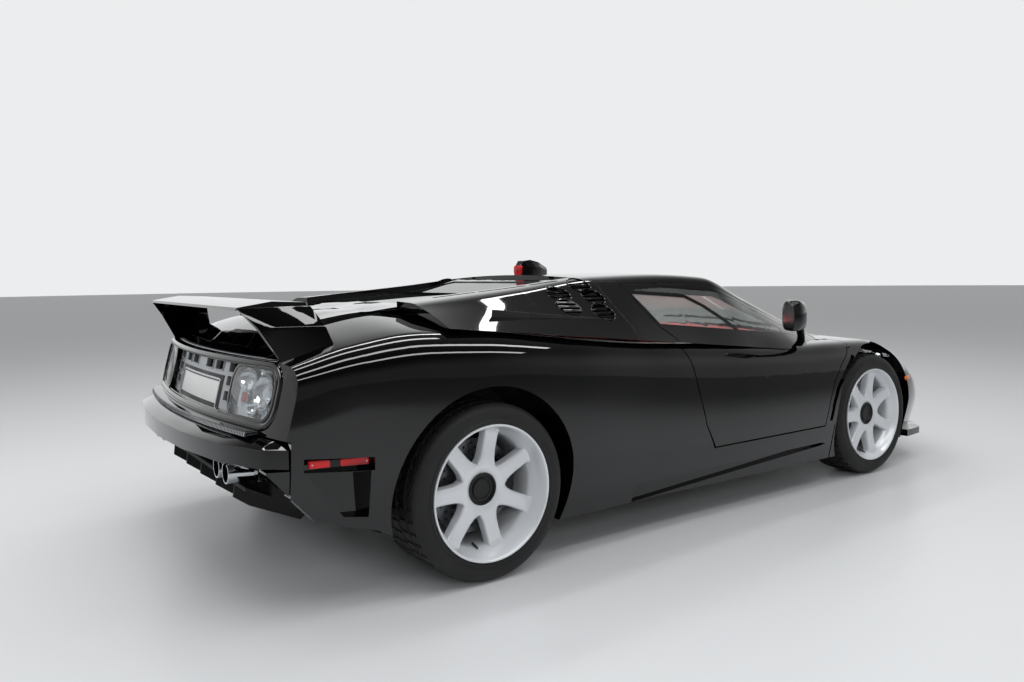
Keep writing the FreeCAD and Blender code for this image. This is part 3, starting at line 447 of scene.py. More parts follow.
def sheet(sides: Sides, round_by: float, steps: int, x: float = 0.0) -> Shape:
    """A flat sheet with rounded corners, square to X.

    Args:
        sides: Its lowest and highest y, and its lowest and highest z.
        round_by: Its corners' radius.
        steps: The facets of each corner.
        x: Where it stands.

    Returns:
        The sheet, in mm.
    """
    y0, y1, z0, z1 = sides
    bm = bmesh.new()
    bmesh.ops.create_grid(bm, x_segments=1, y_segments=1, size=0.5)
    scaled(turned(bm, about("Y", -90)), 1, y1 - y0, z1 - z0)
    shifted(bm, x, (y0 + y1) / 2, (z0 + z1) / 2)
    if round_by:
        bmesh.ops.bevel(bm, geom=bm.verts[:], offset=round_by, affect="VERTICES", segments=steps,
                        profile=0.5, material=-1)
    return bm


def slab(sides: Sides, round_by: float, thick: float, edge: float = 0.0, steps: int = 6,
         x: float = 0.0) -> Shape:
    """A plate with rounded corners, square to X.

    Args:
        sides: Its lowest and highest y, and its lowest and highest z.
        round_by: Its corners' radius.
        thick: How far its back lies behind its face.
        edge: The radius of the edge round its face.
        steps: The facets of each corner.
        x: Where its face stands.

    Returns:
        The plate, in mm.
    """
    bm = sheet(sides, round_by, steps)
    bmesh.ops.translate(bm, vec=(thick, 0, 0), verts=extruded(bm))
    outward(bm)
    if edge:
        rounded(bm, [e for e in bm.edges if all(abs(v.co.x) < 1e-6 for v in e.verts)], edge, 3)
    return shifted(bm, x)


def ring(sides: Sides, round_by: float, width: float, front: float, back: float, edge: float) -> Shape:
    """A rounded frame, square to X.

    Args:
        sides: Its outer sides: lowest and highest y, and lowest and highest z.
        round_by: Its corners' outer radius.
        width: How wide the frame itself is.
        front: The x of its face.
        back: The x of its back.
        edge: The radius of the edges round its face.

    Returns:
        The frame, in mm.
    """
    bm = sheet(sides, round_by, 8, front)
    middle = bm.faces[:]
    bmesh.ops.inset_region(bm, faces=middle, thickness=width, use_boundary=True, use_even_offset=True)
    bmesh.ops.delete(bm, geom=middle, context="FACES")
    bmesh.ops.translate(bm, vec=(back - front, 0, 0), verts=extruded(bm))
    outward(bm)
    face = [e for e in bm.edges if all(abs(v.co.x - front) < 1e-4 for v in e.verts)]
    return rounded(bm, [e for e in face if e.calc_face_angle(0) > 1.0], edge, 3)


def lathe(profile: Profile, steps: int, closed: bool = True) -> Shape:
    """Turns a profile of (y, radius) in mm about the Y axis.

    Args:
        profile: The points, in order.
        steps: The facets round the turn.
        closed: Whether the last point joins the first.

    Returns:
        The turned mesh, in mm.
    """
    bm = bmesh.new()
    points = [bm.verts.new((0, y, r)) for y, r in profile]
    pairs = list(zip(points, points[1:])) + ([(points[-1], points[0])] if closed else [])
    line = [bm.edges.new(two) for two in pairs]
    bmesh.ops.spin(bm, geom=points + line, cent=ORIGIN, axis=(0, 1, 0), angle=FULL_TURN, steps=steps,
                   use_merge=True)
    bmesh.ops.remove_doubles(bm, verts=bm.verts, dist=0.01)
    return outward(bm)


def step_at(place: Vector, steps: int) -> int:
    """Which facet of a turned mesh a place lies on."""
    return round(math.atan2(place.z, place.x) / FULL_TURN * steps - 0.5)


class SmoothRows:
    """Smooth curves through rows of sizes along the car."""

    def __init__(self, rows: list[tuple[float, ...]]) -> None:
        """Works out each column's slope at each row, so that no curve overshoots.

        Args:
            rows: x and then the sizes of each row.
        """
        self.rows = sorted(rows)
        self.xs = [row[0] for row in self.rows]
        self.slopes = [self._slopes(k) for k in range(1, len(self.rows[0]))]

    def _slopes(self, k: int) -> list[float]:
        """The slopes of one column.

        Args:
            k: The column's number.

        Returns:
            Its slope at each row.
        """
        gaps = [b - a for a, b in zip(self.xs, self.xs[1:])]
        rises = [(b[k] - a[k]) / g for a, b, g in zip(self.rows, self.rows[1:], gaps)]
        slopes = [rises[0]]
        for before, after, g0, g1 in zip(rises, rises[1:], gaps, gaps[1:]):
            if before * after <= 0:
                slopes.append(0.0)
            else:
                w0, w1 = 2 * g1 + g0, g1 + 2 * g0
                slopes.append((w0 + w1) / (w0 / before + w1 / after))
        return slopes + [rises[-1]]

    def span(self, x: float) -> tuple[int, float]:
        """The row before x, and the share of the way from it to the next row."""
        i = max(k for k in range(len(self.xs) - 1) if self.xs[k] <= x or k == 0)
        return i, (x - self.xs[i]) / (self.xs[i + 1] - self.xs[i])

    def at(self, x: float, smooth: bool) -> list[float]:
        """The sizes at x.

        Args:
            x: Where.
            smooth: Whether on smooth curves, or on straight lines between the rows.

        Returns:
            The sizes, without x.
        """
        i, t = self.span(x)
        gap = self.xs[i + 1] - self.xs[i]
        sizes = []
        for k, slopes in enumerate(self.slopes, 1):
            a, b = self.rows[i][k], self.rows[i + 1][k]
            if smooth:
                bend = gap * (slopes[i] * (t ** 3 - 2 * t * t + t) + slopes[i + 1] * (t ** 3 - t * t))
                sizes.append(a + (b - a) * (3 * t * t - 2 * t ** 3) + bend)
            else:
                sizes.append(a + (b - a) * t)
        return sizes


def arc(a: Vector, corner: Vector, b: Vector, count: int) -> list[Vector]:
    """Points on the arc that rounds a corner.

    Args:
        a: Where the arc leaves the corner's first side.
        corner: The corner.
        b: Where it meets the second side, as far from the corner as a.
        count: The number of chords.

    Returns:
        The points, from a to b.
    """
    half = (a - corner).angle(b - corner) / 2
    middle = ((a - corner).normalized() + (b - corner).normalized()).normalized()
    centre = corner + middle * ((a - corner).length / math.cos(half))
    sweep = (a - centre).angle_signed(b - centre)
    return [centre + Matrix.Rotation(-sweep * i / count, 2) @ (a - centre) for i in range(count + 1)]


def crown_corner(at: Vector, crown: float, reach: float) -> tuple[Vector, Vector]:
    """Finds where the rounding at a roof edge or shoulder meets the crown.

    Args:
        at: The roof edge or shoulder, as (y, z).
        crown: The height of the crown at the middle of the car.
        reach: How far the rounding reaches from the edge.

    Returns:
        The meeting point, and the corner of the crown's own arc.
    """
    angle = 0.1
    for _ in range(14):
        end = at + Vector((-math.cos(angle), math.sin(angle))) * reach
        angle = 2 * math.atan2(crown - end.y, end.x)
    end = at + Vector((-math.cos(angle), math.sin(angle))) * reach
    return end, Vector((0.0, end.y + end.x * math.tan(angle)))


def over_crown(wall: Vector, top: Vector, crown: float, reach: float,
               chords: tuple[int, int]) -> list[Vector]:
    """The stretch of a section from its wall over the edge to the crown.

    Args:
        wall: The wall's lower end, as (y, z).
        top: The roof edge or shoulder.
        crown: The height of the crown.
        reach: How far the edge's rounding reaches.
        chords: The chords of the edge's rounding and of the crown's whole arc.

    Returns:
        The points.
    """
    end, peak = crown_corner(top, crown, reach)
    edge = arc(top + (wall - top).normalized() * reach, top, end, chords[0])
    over = arc(end, peak, Vector((-end.x, end.y)), chords[1])
    return edge + over[1:len(over) // 2 + 1]


def lower_outline(row: list[float], dense: bool) -> list[Vector]:
    """Half a lower section, from its foot over the shoulder to the crown.

    Args:
        row: The section's x and sizes.
        dense: True for the smooth body, False for the CAD's few chords.

    Returns:
        The points, as (y, z) in mm.
    """
    _, bottom, sill, waist, waist_z, shoulder, shoulder_z, reach, crown = row
    foot, mid, top = Vector((sill, bottom)), Vector((waist, waist_z)), Vector((shoulder, shoulder_z))
    turn = (0.42 if dense else 0.25) * min((foot - mid).length, (top - mid).length)
    ends = [mid + (end - mid).normalized() * turn for end in (foot, top)]
    low = arc(ends[0], mid, ends[1], 12 if dense else 2)
    return [foot] + low + over_crown(mid, top, crown, reach, (12, 24) if dense else (3, 4))


def upper_outline(row: list[float], dense: bool) -> list[Vector]:
    """Half an upper section, from under the belt over the roof edge to the crown.

    Args:
        row: The section's x and sizes.
        dense: True for the smooth body, with its bulged side, False for the CAD's few chords.

    Returns:
        The points, as (y, z) in mm.
    """
    x, belt_y, edge, edge_z, reach, crown = row
    under, bulge = 60, 4.0
    z = BELT_Z - BELT_FALL * x
    slope = min((belt_y - edge) / max(edge_z - z, 10.0), 1.2)
    foot, top = Vector((belt_y + slope * under, z - under)), Vector((edge, edge_z))
    high = over_crown(foot, top, crown, reach, (12, 24) if dense else (2, 4))
    side = [foot]
    if dense:
        run = high[0] - foot
        out = Vector((run.y, -run.x)).normalized()
        side = [foot + run * t + out * (bulge * 4 * t * (1 - t)) for t in (i / 8 for i in range(8))]
    return side + high


@dataclass(frozen=True)
class Look:
    """What a grid says of a point: how far off it is, whether it is inside, and the smooth body there."""

    distance: float
    inside: bool
    place: Vector
    shift: Vector
    normal: Vector


class TwinGrid:
    """A grid on the CAD's flat facets, and its twin on the smooth body, point for point."""

    pitch = 25
    cuts = 5

    def __init__(self, rows: list[tuple[float, ...]],
                 outline: Callable[[list[float], bool], list[Vector]]) -> None:
        """Builds both grids along the car.

        Args:
            rows: The sections' x and sizes.
            outline: Gives a section's half outline.
        """
        curves = SmoothRows(rows)
        stations = []
        for a, b in zip(curves.xs, curves.xs[1:]):
            count = max(2, round((b - a) / self.pitch))
            stations += [a + (b - a) * i / count for i in range(count)]
        ends = [outline(list(row), False) for row in curves.rows]
        flats, smooths = [], []
        for x in stations + [curves.xs[-1]]:
            i, t = curves.span(x)
            coarse = [p.lerp(q, t) for p, q in zip(ends[i], ends[i + 1])]
            flat = [p.lerp(q, s / self.cuts) for p, q in zip(coarse, coarse[1:]) for s in range(self.cuts)]
            line = outline([x, *curves.at(x, True)], True)
            flats.append([Vector((x, p.x, p.y)) for p in flat + [coarse[-1]]])
            smooths.append([self._onto(p, line, x) for p in flat + [coarse[-1]]])
        self.flat, flat_bm = self._grid(flats)
        self.smooth, smooth_bm = self._grid(smooths)
        bmesh.ops.triangulate(flat_bm, faces=flat_bm.faces)
        self.triangles = [tuple(v.index for v in f.verts) for f in flat_bm.faces]
        self.tree = BVHTree.FromBMesh(flat_bm)
        smooth_bm.normal_update()
        self.normals = [v.normal.copy() for v in smooth_bm.verts]
        if self.normals[len(flats[0]) - 1].z < 0:
            self.normals = [-n for n in self.normals]
        flat_bm.free()
        smooth_bm.free()

    @staticmethod
    def _onto(p: Vector, line: list[Vector], x: float) -> Vector:
        """Puts a point on a section's smooth outline.

        Args:
            p: The point, as (y, z).
            line: The outline.
            x: The section's x.

        Returns:
            The outline's nearest point to p, as (x, y, z).
        """
        best, where = 1e9, p
        for a, b in zip(line, line[1:]):
            run = b - a
            t = min(max((p - a).dot(run) / max(run.length_squared, 1e-9), 0.0), 1.0)
            q = a + run * t
            if (q - p).length_squared < best:
                best, where = (q - p).length_squared, q
        return Vector((x, where.x, where.y))

    @staticmethod
    def _grid(lines: list[list[Vector]]) -> tuple[list[Vector], Shape]:
        """Lays a grid through rows of points.

        Args:
            lines: The rows, in mm.

        Returns:
            The points and the grid's mesh, both in metres.
        """
        bm = bmesh.new()
        bmesh.ops.create_grid(bm, x_segments=len(lines[0]) - 1, y_segments=len(lines) - 1, size=1)
        points = [p * MM for line in lines for p in line]
        for vert, p in zip(bm.verts, points):
            vert.co = p
        return points, bm

    def nearest(self, p: Vector) -> Look:
        """What the grid says of a point.

        Args:
            p: The point, on either side of the car, in metres.

        Returns:
            What it says.
        """
        here = Vector((p.x, abs(p.y), p.z))
        hit, _, index, distance = self.tree.find_nearest(here)
        corners = self.triangles[index]
        weights = poly_3d_calc([self.flat[i] for i in corners], hit)
        place = sum((self.smooth[i] * w for i, w in zip(corners, weights)), Vector())
        normal = sum((self.normals[i] * w for i, w in zip(corners, weights)), Vector()).normalized()
        shift = place - hit
        inside = (hit - here).dot(normal) > 0
        for v in (place, shift, normal):
            v.y *= -1.0 if p.y < 0 else 1.0
        return Look(distance, inside, place, shift, normal)


@dataclass
class BodySkins:
    """The painted panels and glass: the CAD's own solids, laid on smooth curves, in metres."""

    facet: float = 0.045
    near_surface: float = 0.05
    full_depth: float = 0.045
    no_depth: float = 0.09
    on_surface: float = 0.0007
    inner_depth: float = 0.024
    cabin_back: float = -0.42
    door_wall: float = 0.85
    hinges: tuple[tuple[float, float], ...] = ((1.062, 0.724), (1.024, 0.749), (-0.516, 1.086))
    hinge_room: float = 0.034
    hinge_cover: float = 0.003
    grids: list[TwinGrid] = field(default_factory=list)

    def __post_init__(self) -> None:
        """Builds the grids of the lower and the upper body."""
        self.grids = [TwinGrid(LOWER, lower_outline), TwinGrid(UPPER, upper_outline)]

    def looks(self, p: Vector) -> list[Look]:
        """What each grid says at p."""
        return [grid.nearest(p) for grid in self.grids]

    def depth(self, p: Vector) -> float:
        """How far p is from the body's surface."""
        return min(grid.tree.find_nearest(Vector((p.x, abs(p.y), p.z)))[3] for grid in self.grids)

    def shift(self, looks: list[Look]) -> Vector:
        """How far a point moves: wholly near the surface, and not at all deep inside.

        Args:
            looks: What the grids say of the point.

        Returns:
            The move.
        """
        total, weight = Vector(), 0.0
        for look in looks:
            near = min(max((self.no_depth - look.distance) / (self.no_depth - self.full_depth), 0.0), 1.0)
            share = 1.0 / (look.distance + 0.004) ** 2
            total += look.shift * (near * share)
            weight += share
        return total / weight

    def in_hinge(self, p: Vector, looks: list[Look]) -> bool:
        """Whether a point under the skin belongs to a hinge's pins or lugs, which keep the CAD's place."""
        below = min(look.distance for look in looks) > self.hinge_cover
        return below and any(math.hypot(p.x - x, p.z - z) < self.hinge_room for x, z in self.hinges)

    def faces_in(self, face: bmesh.types.BMFace) -> bool:
        """Finds the inner walls of panels, in the cabin or ahead of it.

        Args:
            face: A face of a panel.

        Returns:
            Whether it is an inner wall.
        """
        middle = face.calc_center_median()
        if abs(abs(middle.y) - self.door_wall) < 0.004 and face.normal.y * middle.y < -0.8:
            return True
        look = min(self.looks(middle), key=lambda one: one.distance)
        deep = look.inside and look.distance > self.inner_depth and middle.x > self.cabin_back
        return deep and face.normal.dot(look.normal) < -0.5

    def facets(self, node: str) -> Shape:
        """Copies a CAD node, its long edges near the surface cut short.

        Args:
            node: The node.

        Returns:
            The copy.
        """
        bm = bmesh.new()
        bm.from_mesh(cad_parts[node].data)
        bmesh.ops.remove_doubles(bm, verts=bm.verts, dist=0.00002)
        for _ in range(4):
            long = [e for e in bm.edges if e.calc_length() > self.facet]
            long = [e for e in long if self.depth((e.verts[0].co + e.verts[1].co) / 2) < self.near_surface]
            if not long:
                break
            bmesh.ops.subdivide_edges(bm, edges=long, cuts=1)
            bmesh.ops.triangulate(bm, faces=[f for f in bm.faces if len(f.verts) > 3])
        bm.normal_update()
        return bm

    def skin(self, node: str, body: str, finish: Finish, inside: Finish | None, slot: str) -> None:
        """Lays one node on the smooth body.

        Args:
            node: The CAD node that it replaces.
            body: The body that it rides on.
            finish: Its finish.
            inside: The finish of its faces that look into the car, where it differs.
            slot: The record's slot.
        """
        bm = self.facets(node)
        looks = [self.looks(v.co) for v in bm.verts]
        inner = [int(bool(inside) and self.faces_in(f)) for f in bm.faces]
        for vert, look in zip(bm.verts, looks):
            if not self.in_hinge(vert.co, look):
                vert.co += self.shift(look)
        mesh = new_piece(node + "_skin", bm, finish, body, slot, 30.0, node).data
        if inside:
            mesh.materials.append(inside.material())
            mesh.polygons.foreach_set("material_index", inner)
        normals = [tuple(n.vector) for n in mesh.corner_normals]
        for face in mesh.polygons:
            for corner in face.loop_indices:
                seen = looks[mesh.loops[corner].vertex_index]
                near = [one for one in seen if one.distance < self.on_surface]
                fits = [one.normal for one in near if one.normal.dot(face.normal) > 0.86]
                if fits:
                    normals[corner] = tuple(max(fits, key=face.normal.dot))
        mesh.normals_split_custom_set(normals)

    def build(self) -> None:
        """Lays every panel and pane on the smooth body."""
        f = Finishes
        for node in ("cowl", "nose", "rear_bumper", "rear_deck", "skirts", "side_panels"):
            self.skin(node, "body", f.paint, f.trim, "paint")
        for side, _ in SIDES:
            for node in ("fender_", "quarter_"):
                self.skin(node + side, "body", f.paint, f.trim, "paint")
            self.skin("door_" + side, "door_" + side, f.paint, f.leather, "paint")
            self.skin("door_glass_" + side, "door_" + side, f.glass, None, "glass")
        self.skin("roof", "body", f.paint, f.dark_leather, "paint")
        for lid in ("front_lid", "engine_lid"):
            self.skin(lid, lid, f.paint, f.trim, "paint")
        self.skin("windscreen", "body", f.glass, None, "glass")
        self.skin("headlamps", "body", f.lens, None, "lamp_glass")


@dataclass
class Wheel:
    """One tyre, rim, hub cap, drilled disc and caliper, turned about the axle, in mm."""

    name: str
    x: float
    radius: float
    width: float
    face: float
    lip: float
    body: str
    side: float
    rim: float = 248.0
    spokes: int = 7
    turn: float = 11.3
    tread_steps: int = 132
    disc_steps: int = 88

    def tyre(self) -> Shape:
        """A low tyre: bulged wall, rim protector, four grooves round the tread and blocks across it.

        Returns:
            The tyre.
        """
        r, w, bead, shoulder = self.radius, self.width, self.rim + 1.0, 42
        wall = [
            (-9, bead), (-4, bead + 4), (-1.5, 258), (-0.5, 265), (-3, 268), (-2, 276), (-0.5, 286),
            (-3, 300), (-9, 311), (-18, 319), (-28, r - 3.0), (-shoulder, r - 1.0),
        ]
        crown = []
        for i in range(4):
            at = -shoulder - (w - 2 * shoulder) / 4 * (i + 0.5)
            crown += [(at + 6, r), (at + 5, r - 6), (at - 5, r - 6), (at - 6, r)]
        far = [(-w - y, z) for y, z in reversed(wall)]
        inside = [(-w + 14, bead), (-w + 30, bead + 5), (-30, bead + 5)]
        bm = lathe(wall + crown + far + inside, self.tread_steps)
        bm.normal_update()
        blocks = []
        for face in bm.faces:
            at = face.calc_center_median()
            phase = 0 if -at.y < w / 2 else 1
            on_tread = math.hypot(at.x, at.z) > r - 2.5 and 26 < -at.y < w - 26
            if on_tread and step_at(at, self.tread_steps) % 3 == phase:
                blocks.append(face)
        bmesh.ops.inset_individual(bm, faces=blocks, thickness=2.2, depth=-5.0)
        return bm

    def rim_ring(self) -> Shape:
        """The deep lip, its rolled edge and the barrel."""
        w, lip = self.width, self.lip
        return lathe([
            (-3, 250), (0, 248.5), (0.5, 245), (-1.5, 242), (-7, 239.5), (-lip * 0.45 - 4, 233),
            (-lip * 0.8 - 6, 225), (-lip - 8, 215), (-lip - 26, 211), (-w * 0.75, 218), (-w + 10, 236),
            (-w + 4, 242), (-w + 3, 250), (-w + 14, 247.5), (-14, 247.5), (-9, 249),
        ], 112)

    def depth_at(self, r: float) -> float:
        """How far the spokes' front lies behind the wheel's outer face.

        Args:
            r: The distance from the axle.

        Returns:
            The depth.
        """
        hub = 9.0 * max(0.0, (92 - r) / 32) ** 2
        rise = max(0.0, (r - 206) / 30) ** 1.6 * min(16.0, self.lip * 0.3)
        return self.lip + hub + 3.0 * math.sin(math.pi * min(max((r - 90) / 130, 0.0), 1.0)) - rise

    def spider(self) -> Shape:
        """Seven flat, round-edged spokes that flow out of the hub and into the lip.

        Returns:
            The spokes.
        """
        sector = math.tan(math.pi / self.spokes)
        # Distance from the axle, and half the gap to the next spoke there
        half = [
            (54, 0), (60, 0), (72, 0), (84, 0), (92, 0), (97, 0), (97.6, 5.0), (99.5, 10.0), (102.5, 14.0),
            (107, 17.5), (113, 21.5), (121, 26.5), (132, 33), (152, 43), (176, 54.5), (198, 65), (210, 69.5),
            (218, 71), (226, 69), (233, 63), (239, 54),
        ]
        # Share of the half width, and how far the round edge falls there
        drop = {1.0: 9.0, 0.93: 4.0, 0.84: 1.2, 0.7: 0.3, 0.35: 0.0}
        across = [-s for s in drop] + [0.0] + list(reversed(drop))
        bm = bmesh.new()
        bmesh.ops.create_grid(bm, x_segments=len(across) - 1, y_segments=len(half) - 1, size=1)
        bm.verts.ensure_lookup_table()
        for row, (r, gap) in enumerate(half):
            ease = min(max((r - 91) / 6, 0.0), 1.0)
            for col, s in enumerate(across):
                x = (r * sector - gap) * s
                near = math.sqrt(max(r * r - x * x, 1.0)) if r < 98 else r
                low = 8.0 if r < 55 else 0.0
                fall = drop.get(abs(s), 0.0) * ease + low
                bm.verts[row * len(across) + col].co = (x, -self.depth_at(r) - fall, near)
        bmesh.ops.spin(bm, geom=bm.verts[:] + bm.edges[:] + bm.faces[:], cent=ORIGIN, axis=(0, 1, 0),
                       angle=FULL_TURN * (self.spokes - 1) / self.spokes, steps=self.spokes - 1,
                       use_duplicate=True)
        bmesh.ops.remove_doubles(bm, verts=bm.verts, dist=0.3)
        for vert in extruded(bm):
            vert.co.y -= 40 - 12 * min(math.hypot(vert.co.x, vert.co.z) / 240, 1.0)
        return turned(outward(bm), about("Y", self.turn))

    def cap(self) -> Shape:
        """The black centre: a stepped ring round a sunk nut."""
        rows = [
            (40, AXIS_GAP), (40, 62), (10, 62), (6, 58), (7, 53), (14, 50), (14, 42), (8, 40), (7, 36),
            (12, 33), (13, AXIS_GAP),
        ]
        return lathe([(-self.lip - d, r) for d, r in rows], 56, False)

    def brake(self) -> Shape:
        """The drilled disc on its bell.

        Returns:
            The disc.
        """
        at = -self.lip - 80
        bell = [(22, AXIS_GAP), (22, 60), (18, 78), (2, 82), (0, 88)]
        face = [(0, r) for r in range(96, 177, 10)]
        back = [(-1, 177), (-29, 177), (-30, 96), (-30, AXIS_GAP)]
        bm = lathe([(at + y, r) for y, r in bell + face + back], self.disc_steps, False)
        bm.normal_update()
        holes = []
        for face in bm.faces:
            mid = face.calc_center_median()
            r = math.hypot(mid.x, mid.z)
            turn = step_at(mid, self.disc_steps) + 3 * int((r - 96) / 10)
            if abs(mid.y - at) < 0.1 and 98 < r < 168 and turn % 8 == 0:
                holes.append(face)
        bmesh.ops.inset_individual(bm, faces=holes, thickness=1.6, depth=-9.0)
        return bm

    def clamp(self) -> Shape:
        """The caliper's block, rounded and bent, over the front of the disc.

        Returns:
            The block.
        """
        bm = block((58, 76, 190), 14, 3)
        tall = [e for e in bm.edges if abs((e.verts[0].co - e.verts[1].co).z) > 90]
        bmesh.ops.subdivide_edges(bm, edges=tall, cuts=4)
        for vert in bm.verts:
            vert.co.x -= 26 * (vert.co.z / 95) ** 2
        return shifted(bm, 152, -self.lip - 94)

    def valve(self) -> Shape:
        """The rubber valve with its cap, near the lip."""
        bm = lathe([(-30, AXIS_GAP), (-30, 4.5), (-8, 4.5), (-6, 3.4), (8, 3.4), (9, AXIS_GAP)], 12, False)
        return shifted(turned(bm, about("X", -14)), -34, -self.lip - 2, -208)

    def build(self) -> None:
        """Builds the whole wheel."""
        f, name = Finishes, self.name
        carrier = {"wheel_fl": "upright_left", "wheel_fr": "upright_right"}.get(self.body, "body")
        rim = merge([self.rim_ring(), self.spider()])
        pieces = (
            (f"tyre_{name}_rubber", self.tyre(), f.rubber, self.body, "rubber", 32.0, "tyre_" + name),
            (f"rim_{name}", rim, f.alloy, self.body, "alloy", 50.0, "wheel_" + name),
            (f"disc_{name}", self.brake(), f.iron, self.body, "steel"),
            (f"cap_{name}", self.cap(), f.trim, self.body),
            (f"valve_{name}", self.valve(), f.rubber, self.body, "rubber"),
            (f"caliper_{name}", self.clamp(), f.caliper, carrier, "steel"),
        )
        for title, bm, *rest in pieces:
            new_piece(title, moved(on_side(bm, self.side), self.x, self.face * self.side, self.radius), *rest)


@dataclass
class Tail:
    """The long rounded tail opening, on a leaning curved face.

    Its shapes are made flat, as (depth, y, z) in mm, and then wrapped onto the face.
    """

    x: float = -2072.0
    z: float = 700.0
    radius: float = 4000.0
    lean: float = 13.5
    lamp: Sides = (422.0, 732.0, 634.0, 804.0)
    lamp_round: float = 62.0
    red: Sides = (514, 554, 682, 714)
    plate: Sides = (-256, 256, 626, 731)
    bowls: tuple[Sides, ...] = ((655, 726, 56, 56), (535, 758, 62, 34), (604, 666, 30, 24))
    holes: tuple[Sides, ...] = (
        (103, 785, 42, 19), (218, 785, 42, 19), (364, 785, 42, 19), (364, 735, 44, 19), (364, 681, 44, 19),
    )

    def place(self, bm: Shape) -> Shape:
        """Wraps a flat mesh onto the tail's face and turns it to metres.

        Args:
            bm: The mesh.

        Returns:
            The same mesh, in its place.
        """
        for y in range(-750, 751, 75):
            bmesh.ops.bisect_plane(bm, geom=bm.verts[:] + bm.edges[:] + bm.faces[:], plane_co=(0, y, 0),
                                   plane_no=(0, 1, 0))
        lean = math.radians(self.lean)
        for vert in bm.verts:
            depth, y, z = vert.co
            inward = self.radius - math.sqrt((self.radius - depth) ** 2 - y * y)
            rise = (z - self.z + math.sin(lean) * inward) / math.cos(lean)
            vert.co = (self.x + math.cos(lean) * inward + math.sin(lean) * rise, y, z)
        return scaled(bm, MM, MM, MM)

    def bowl(self, y: float, z: float, wide: float, high: float) -> Shape:
        """A round or oval reflector bowl that opens to the rear.

        Args:
            y: The y of its middle.
            z: The z of its middle.
            wide: Half its width.
            high: Half its height.

        Returns:
            The bowl.
        """
        rows = [
            (-22, AXIS_GAP), (-22, 0.30), (-20, 0.5), (-15, 0.72), (-8, 0.9), (0, 1.0), (0, 1.08),
            (-24, 1.08),
        ]
        bm = scaled(lathe(rows, 40, False), wide, 0.62, high)
        return shifted(turned(bm, about("Z", 90)), 11, y, z)

    def ledge_ribs(self) -> Shape:
        """The row of upright ribs on the ledge under the lamps.

        Returns:
            The ribs.
        """
        half, step = 690, 11
        middles = [-half + step * (i + 0.5) for i in range(int(2 * half / step))]
        wide = step * 0.22
        return merge([slab((at - wide, at + wide, 591, 604), 0, 10, x=-40) for at in middles])

    def lamps(self) -> None:
        """Both lamps: rim, reflector, round bowls, small red square and clear lens."""
        f, lamp, r = Finishes, self.lamp, self.lamp_round
        pieces = (
            ("tail_lamp_rims", ring(around(lamp, 13), r + 13, 17, 4, 30, 3), f.paint, "paint"),
            ("tail_lamp_reflectors", slab(around(lamp, 2), r, 4, 0, 8, 23.5), f.prism, "silver"),
            ("tail_lamp_bowls", merge([self.bowl(*one) for one in self.bowls]), f.bright, "silver"),
            ("tail_lamp_reds", slab(self.red, 4, 13, 2, x=10), f.red_lens, "lamp_glass"),
            ("tail_lamp_frames", ring(around(self.red, 5), 7, 5, 11, 24, 1.5), f.bright, "silver"),
        )
        for name, bm, finish, slot in pieces:
            new_piece(name, on_both_sides(self.place(bm)), finish, slot=slot)
        lens = on_both_sides(self.place(slab(around(lamp, -1), r - 1, 3, 2.5, 8, 5)))
        new_piece("tail_lamp_lenses", lens, f.lens, slot="lamp_glass", stands_for="rear_lamps")

    def markers(self) -> None:
        """The low side markers: red, dark, red, with a small screw at each end."""
        f, lens, screw = Finishes, (502, 525, 4, 2, 0.0), (511, 516, 2.2, 1, 1.5)
        rows = (
            (f.red_lens, "side_marker_reds", ((-1937, -1868), (-1832, -1731)), lens),
            (f.trim, "side_marker_middles", ((-1867, -1833),), lens),
            (f.bright, "side_marker_screws", ((-1931, -1926), (-1742, -1737)), screw),
        )
        for finish, name, spans, (low, high, round_by, edge, proud) in rows:
            for side, hand in SIDES:
                made = merge([slab((-x1, -x0, low, high), round_by, 16, edge) for x0, x1 in spans])
                for vert in turned(made, about("Z", 90)).verts:
                    x, y, z = vert.co
                    vert.co = (x, 886 + proud + y, z - 0.061 * (x + 1940))
                outward(scaled(made, MM, MM * hand, MM))
                new_piece(f"{name}_{side}", made, finish, slot="lamp_glass")

    def build(self) -> None:
        """Builds the tail."""
        f = Finishes
        moulding = merge([
            ring((-784, 784, 606, 832), 84, 24, -5, 30, 8), ring((-762, 762, 628, 810), 64, 5, 8, 30, 2),
        ])
        frames = [
            ring((at - half - 3, at + half + 3, z - high - 3, z + high + 3), 7, 5, 25, 34, 1.2)
            for y, z, half, high in self.holes for at in (y, -y)
        ]
        pieces = (
            ("tail_moulding_ring", moulding, f.paint, "paint", "tail_moulding"),
            ("tail_ledge", slab((-700, 700, 588, 607), 6, 58, 3, x=-38), f.chrome, "silver", None),
            ("tail_ledge_ribs", self.ledge_ribs(), f.bright, "silver", None),
            ("tail_hole_frames", merge(frames), f.silver, "silver", None),
            ("tail_mesh", slab((-415, 415, 650, 812), 4, 2, x=47), f.mesh, "black_trim", None),
            ("blank_plate", slab(self.plate, 8, 5, 1.5, x=28), f.plate, "plate_white", "plate"),
            ("plate_frame", ring(around(self.plate, 7), 12, 9, 24, 36, 2), f.bright, "silver", None),
            ("plate_recess", ring((-288, 288, 619, 750), 8, 25, 26.5, 37, 1), f.trim, "black_trim", None),
        )
        for name, bm, finish, slot, node in pieces:
            new_piece(name, self.place(bm), finish, slot=slot, stands_for=node)
        self.lamps()
        self.markers()


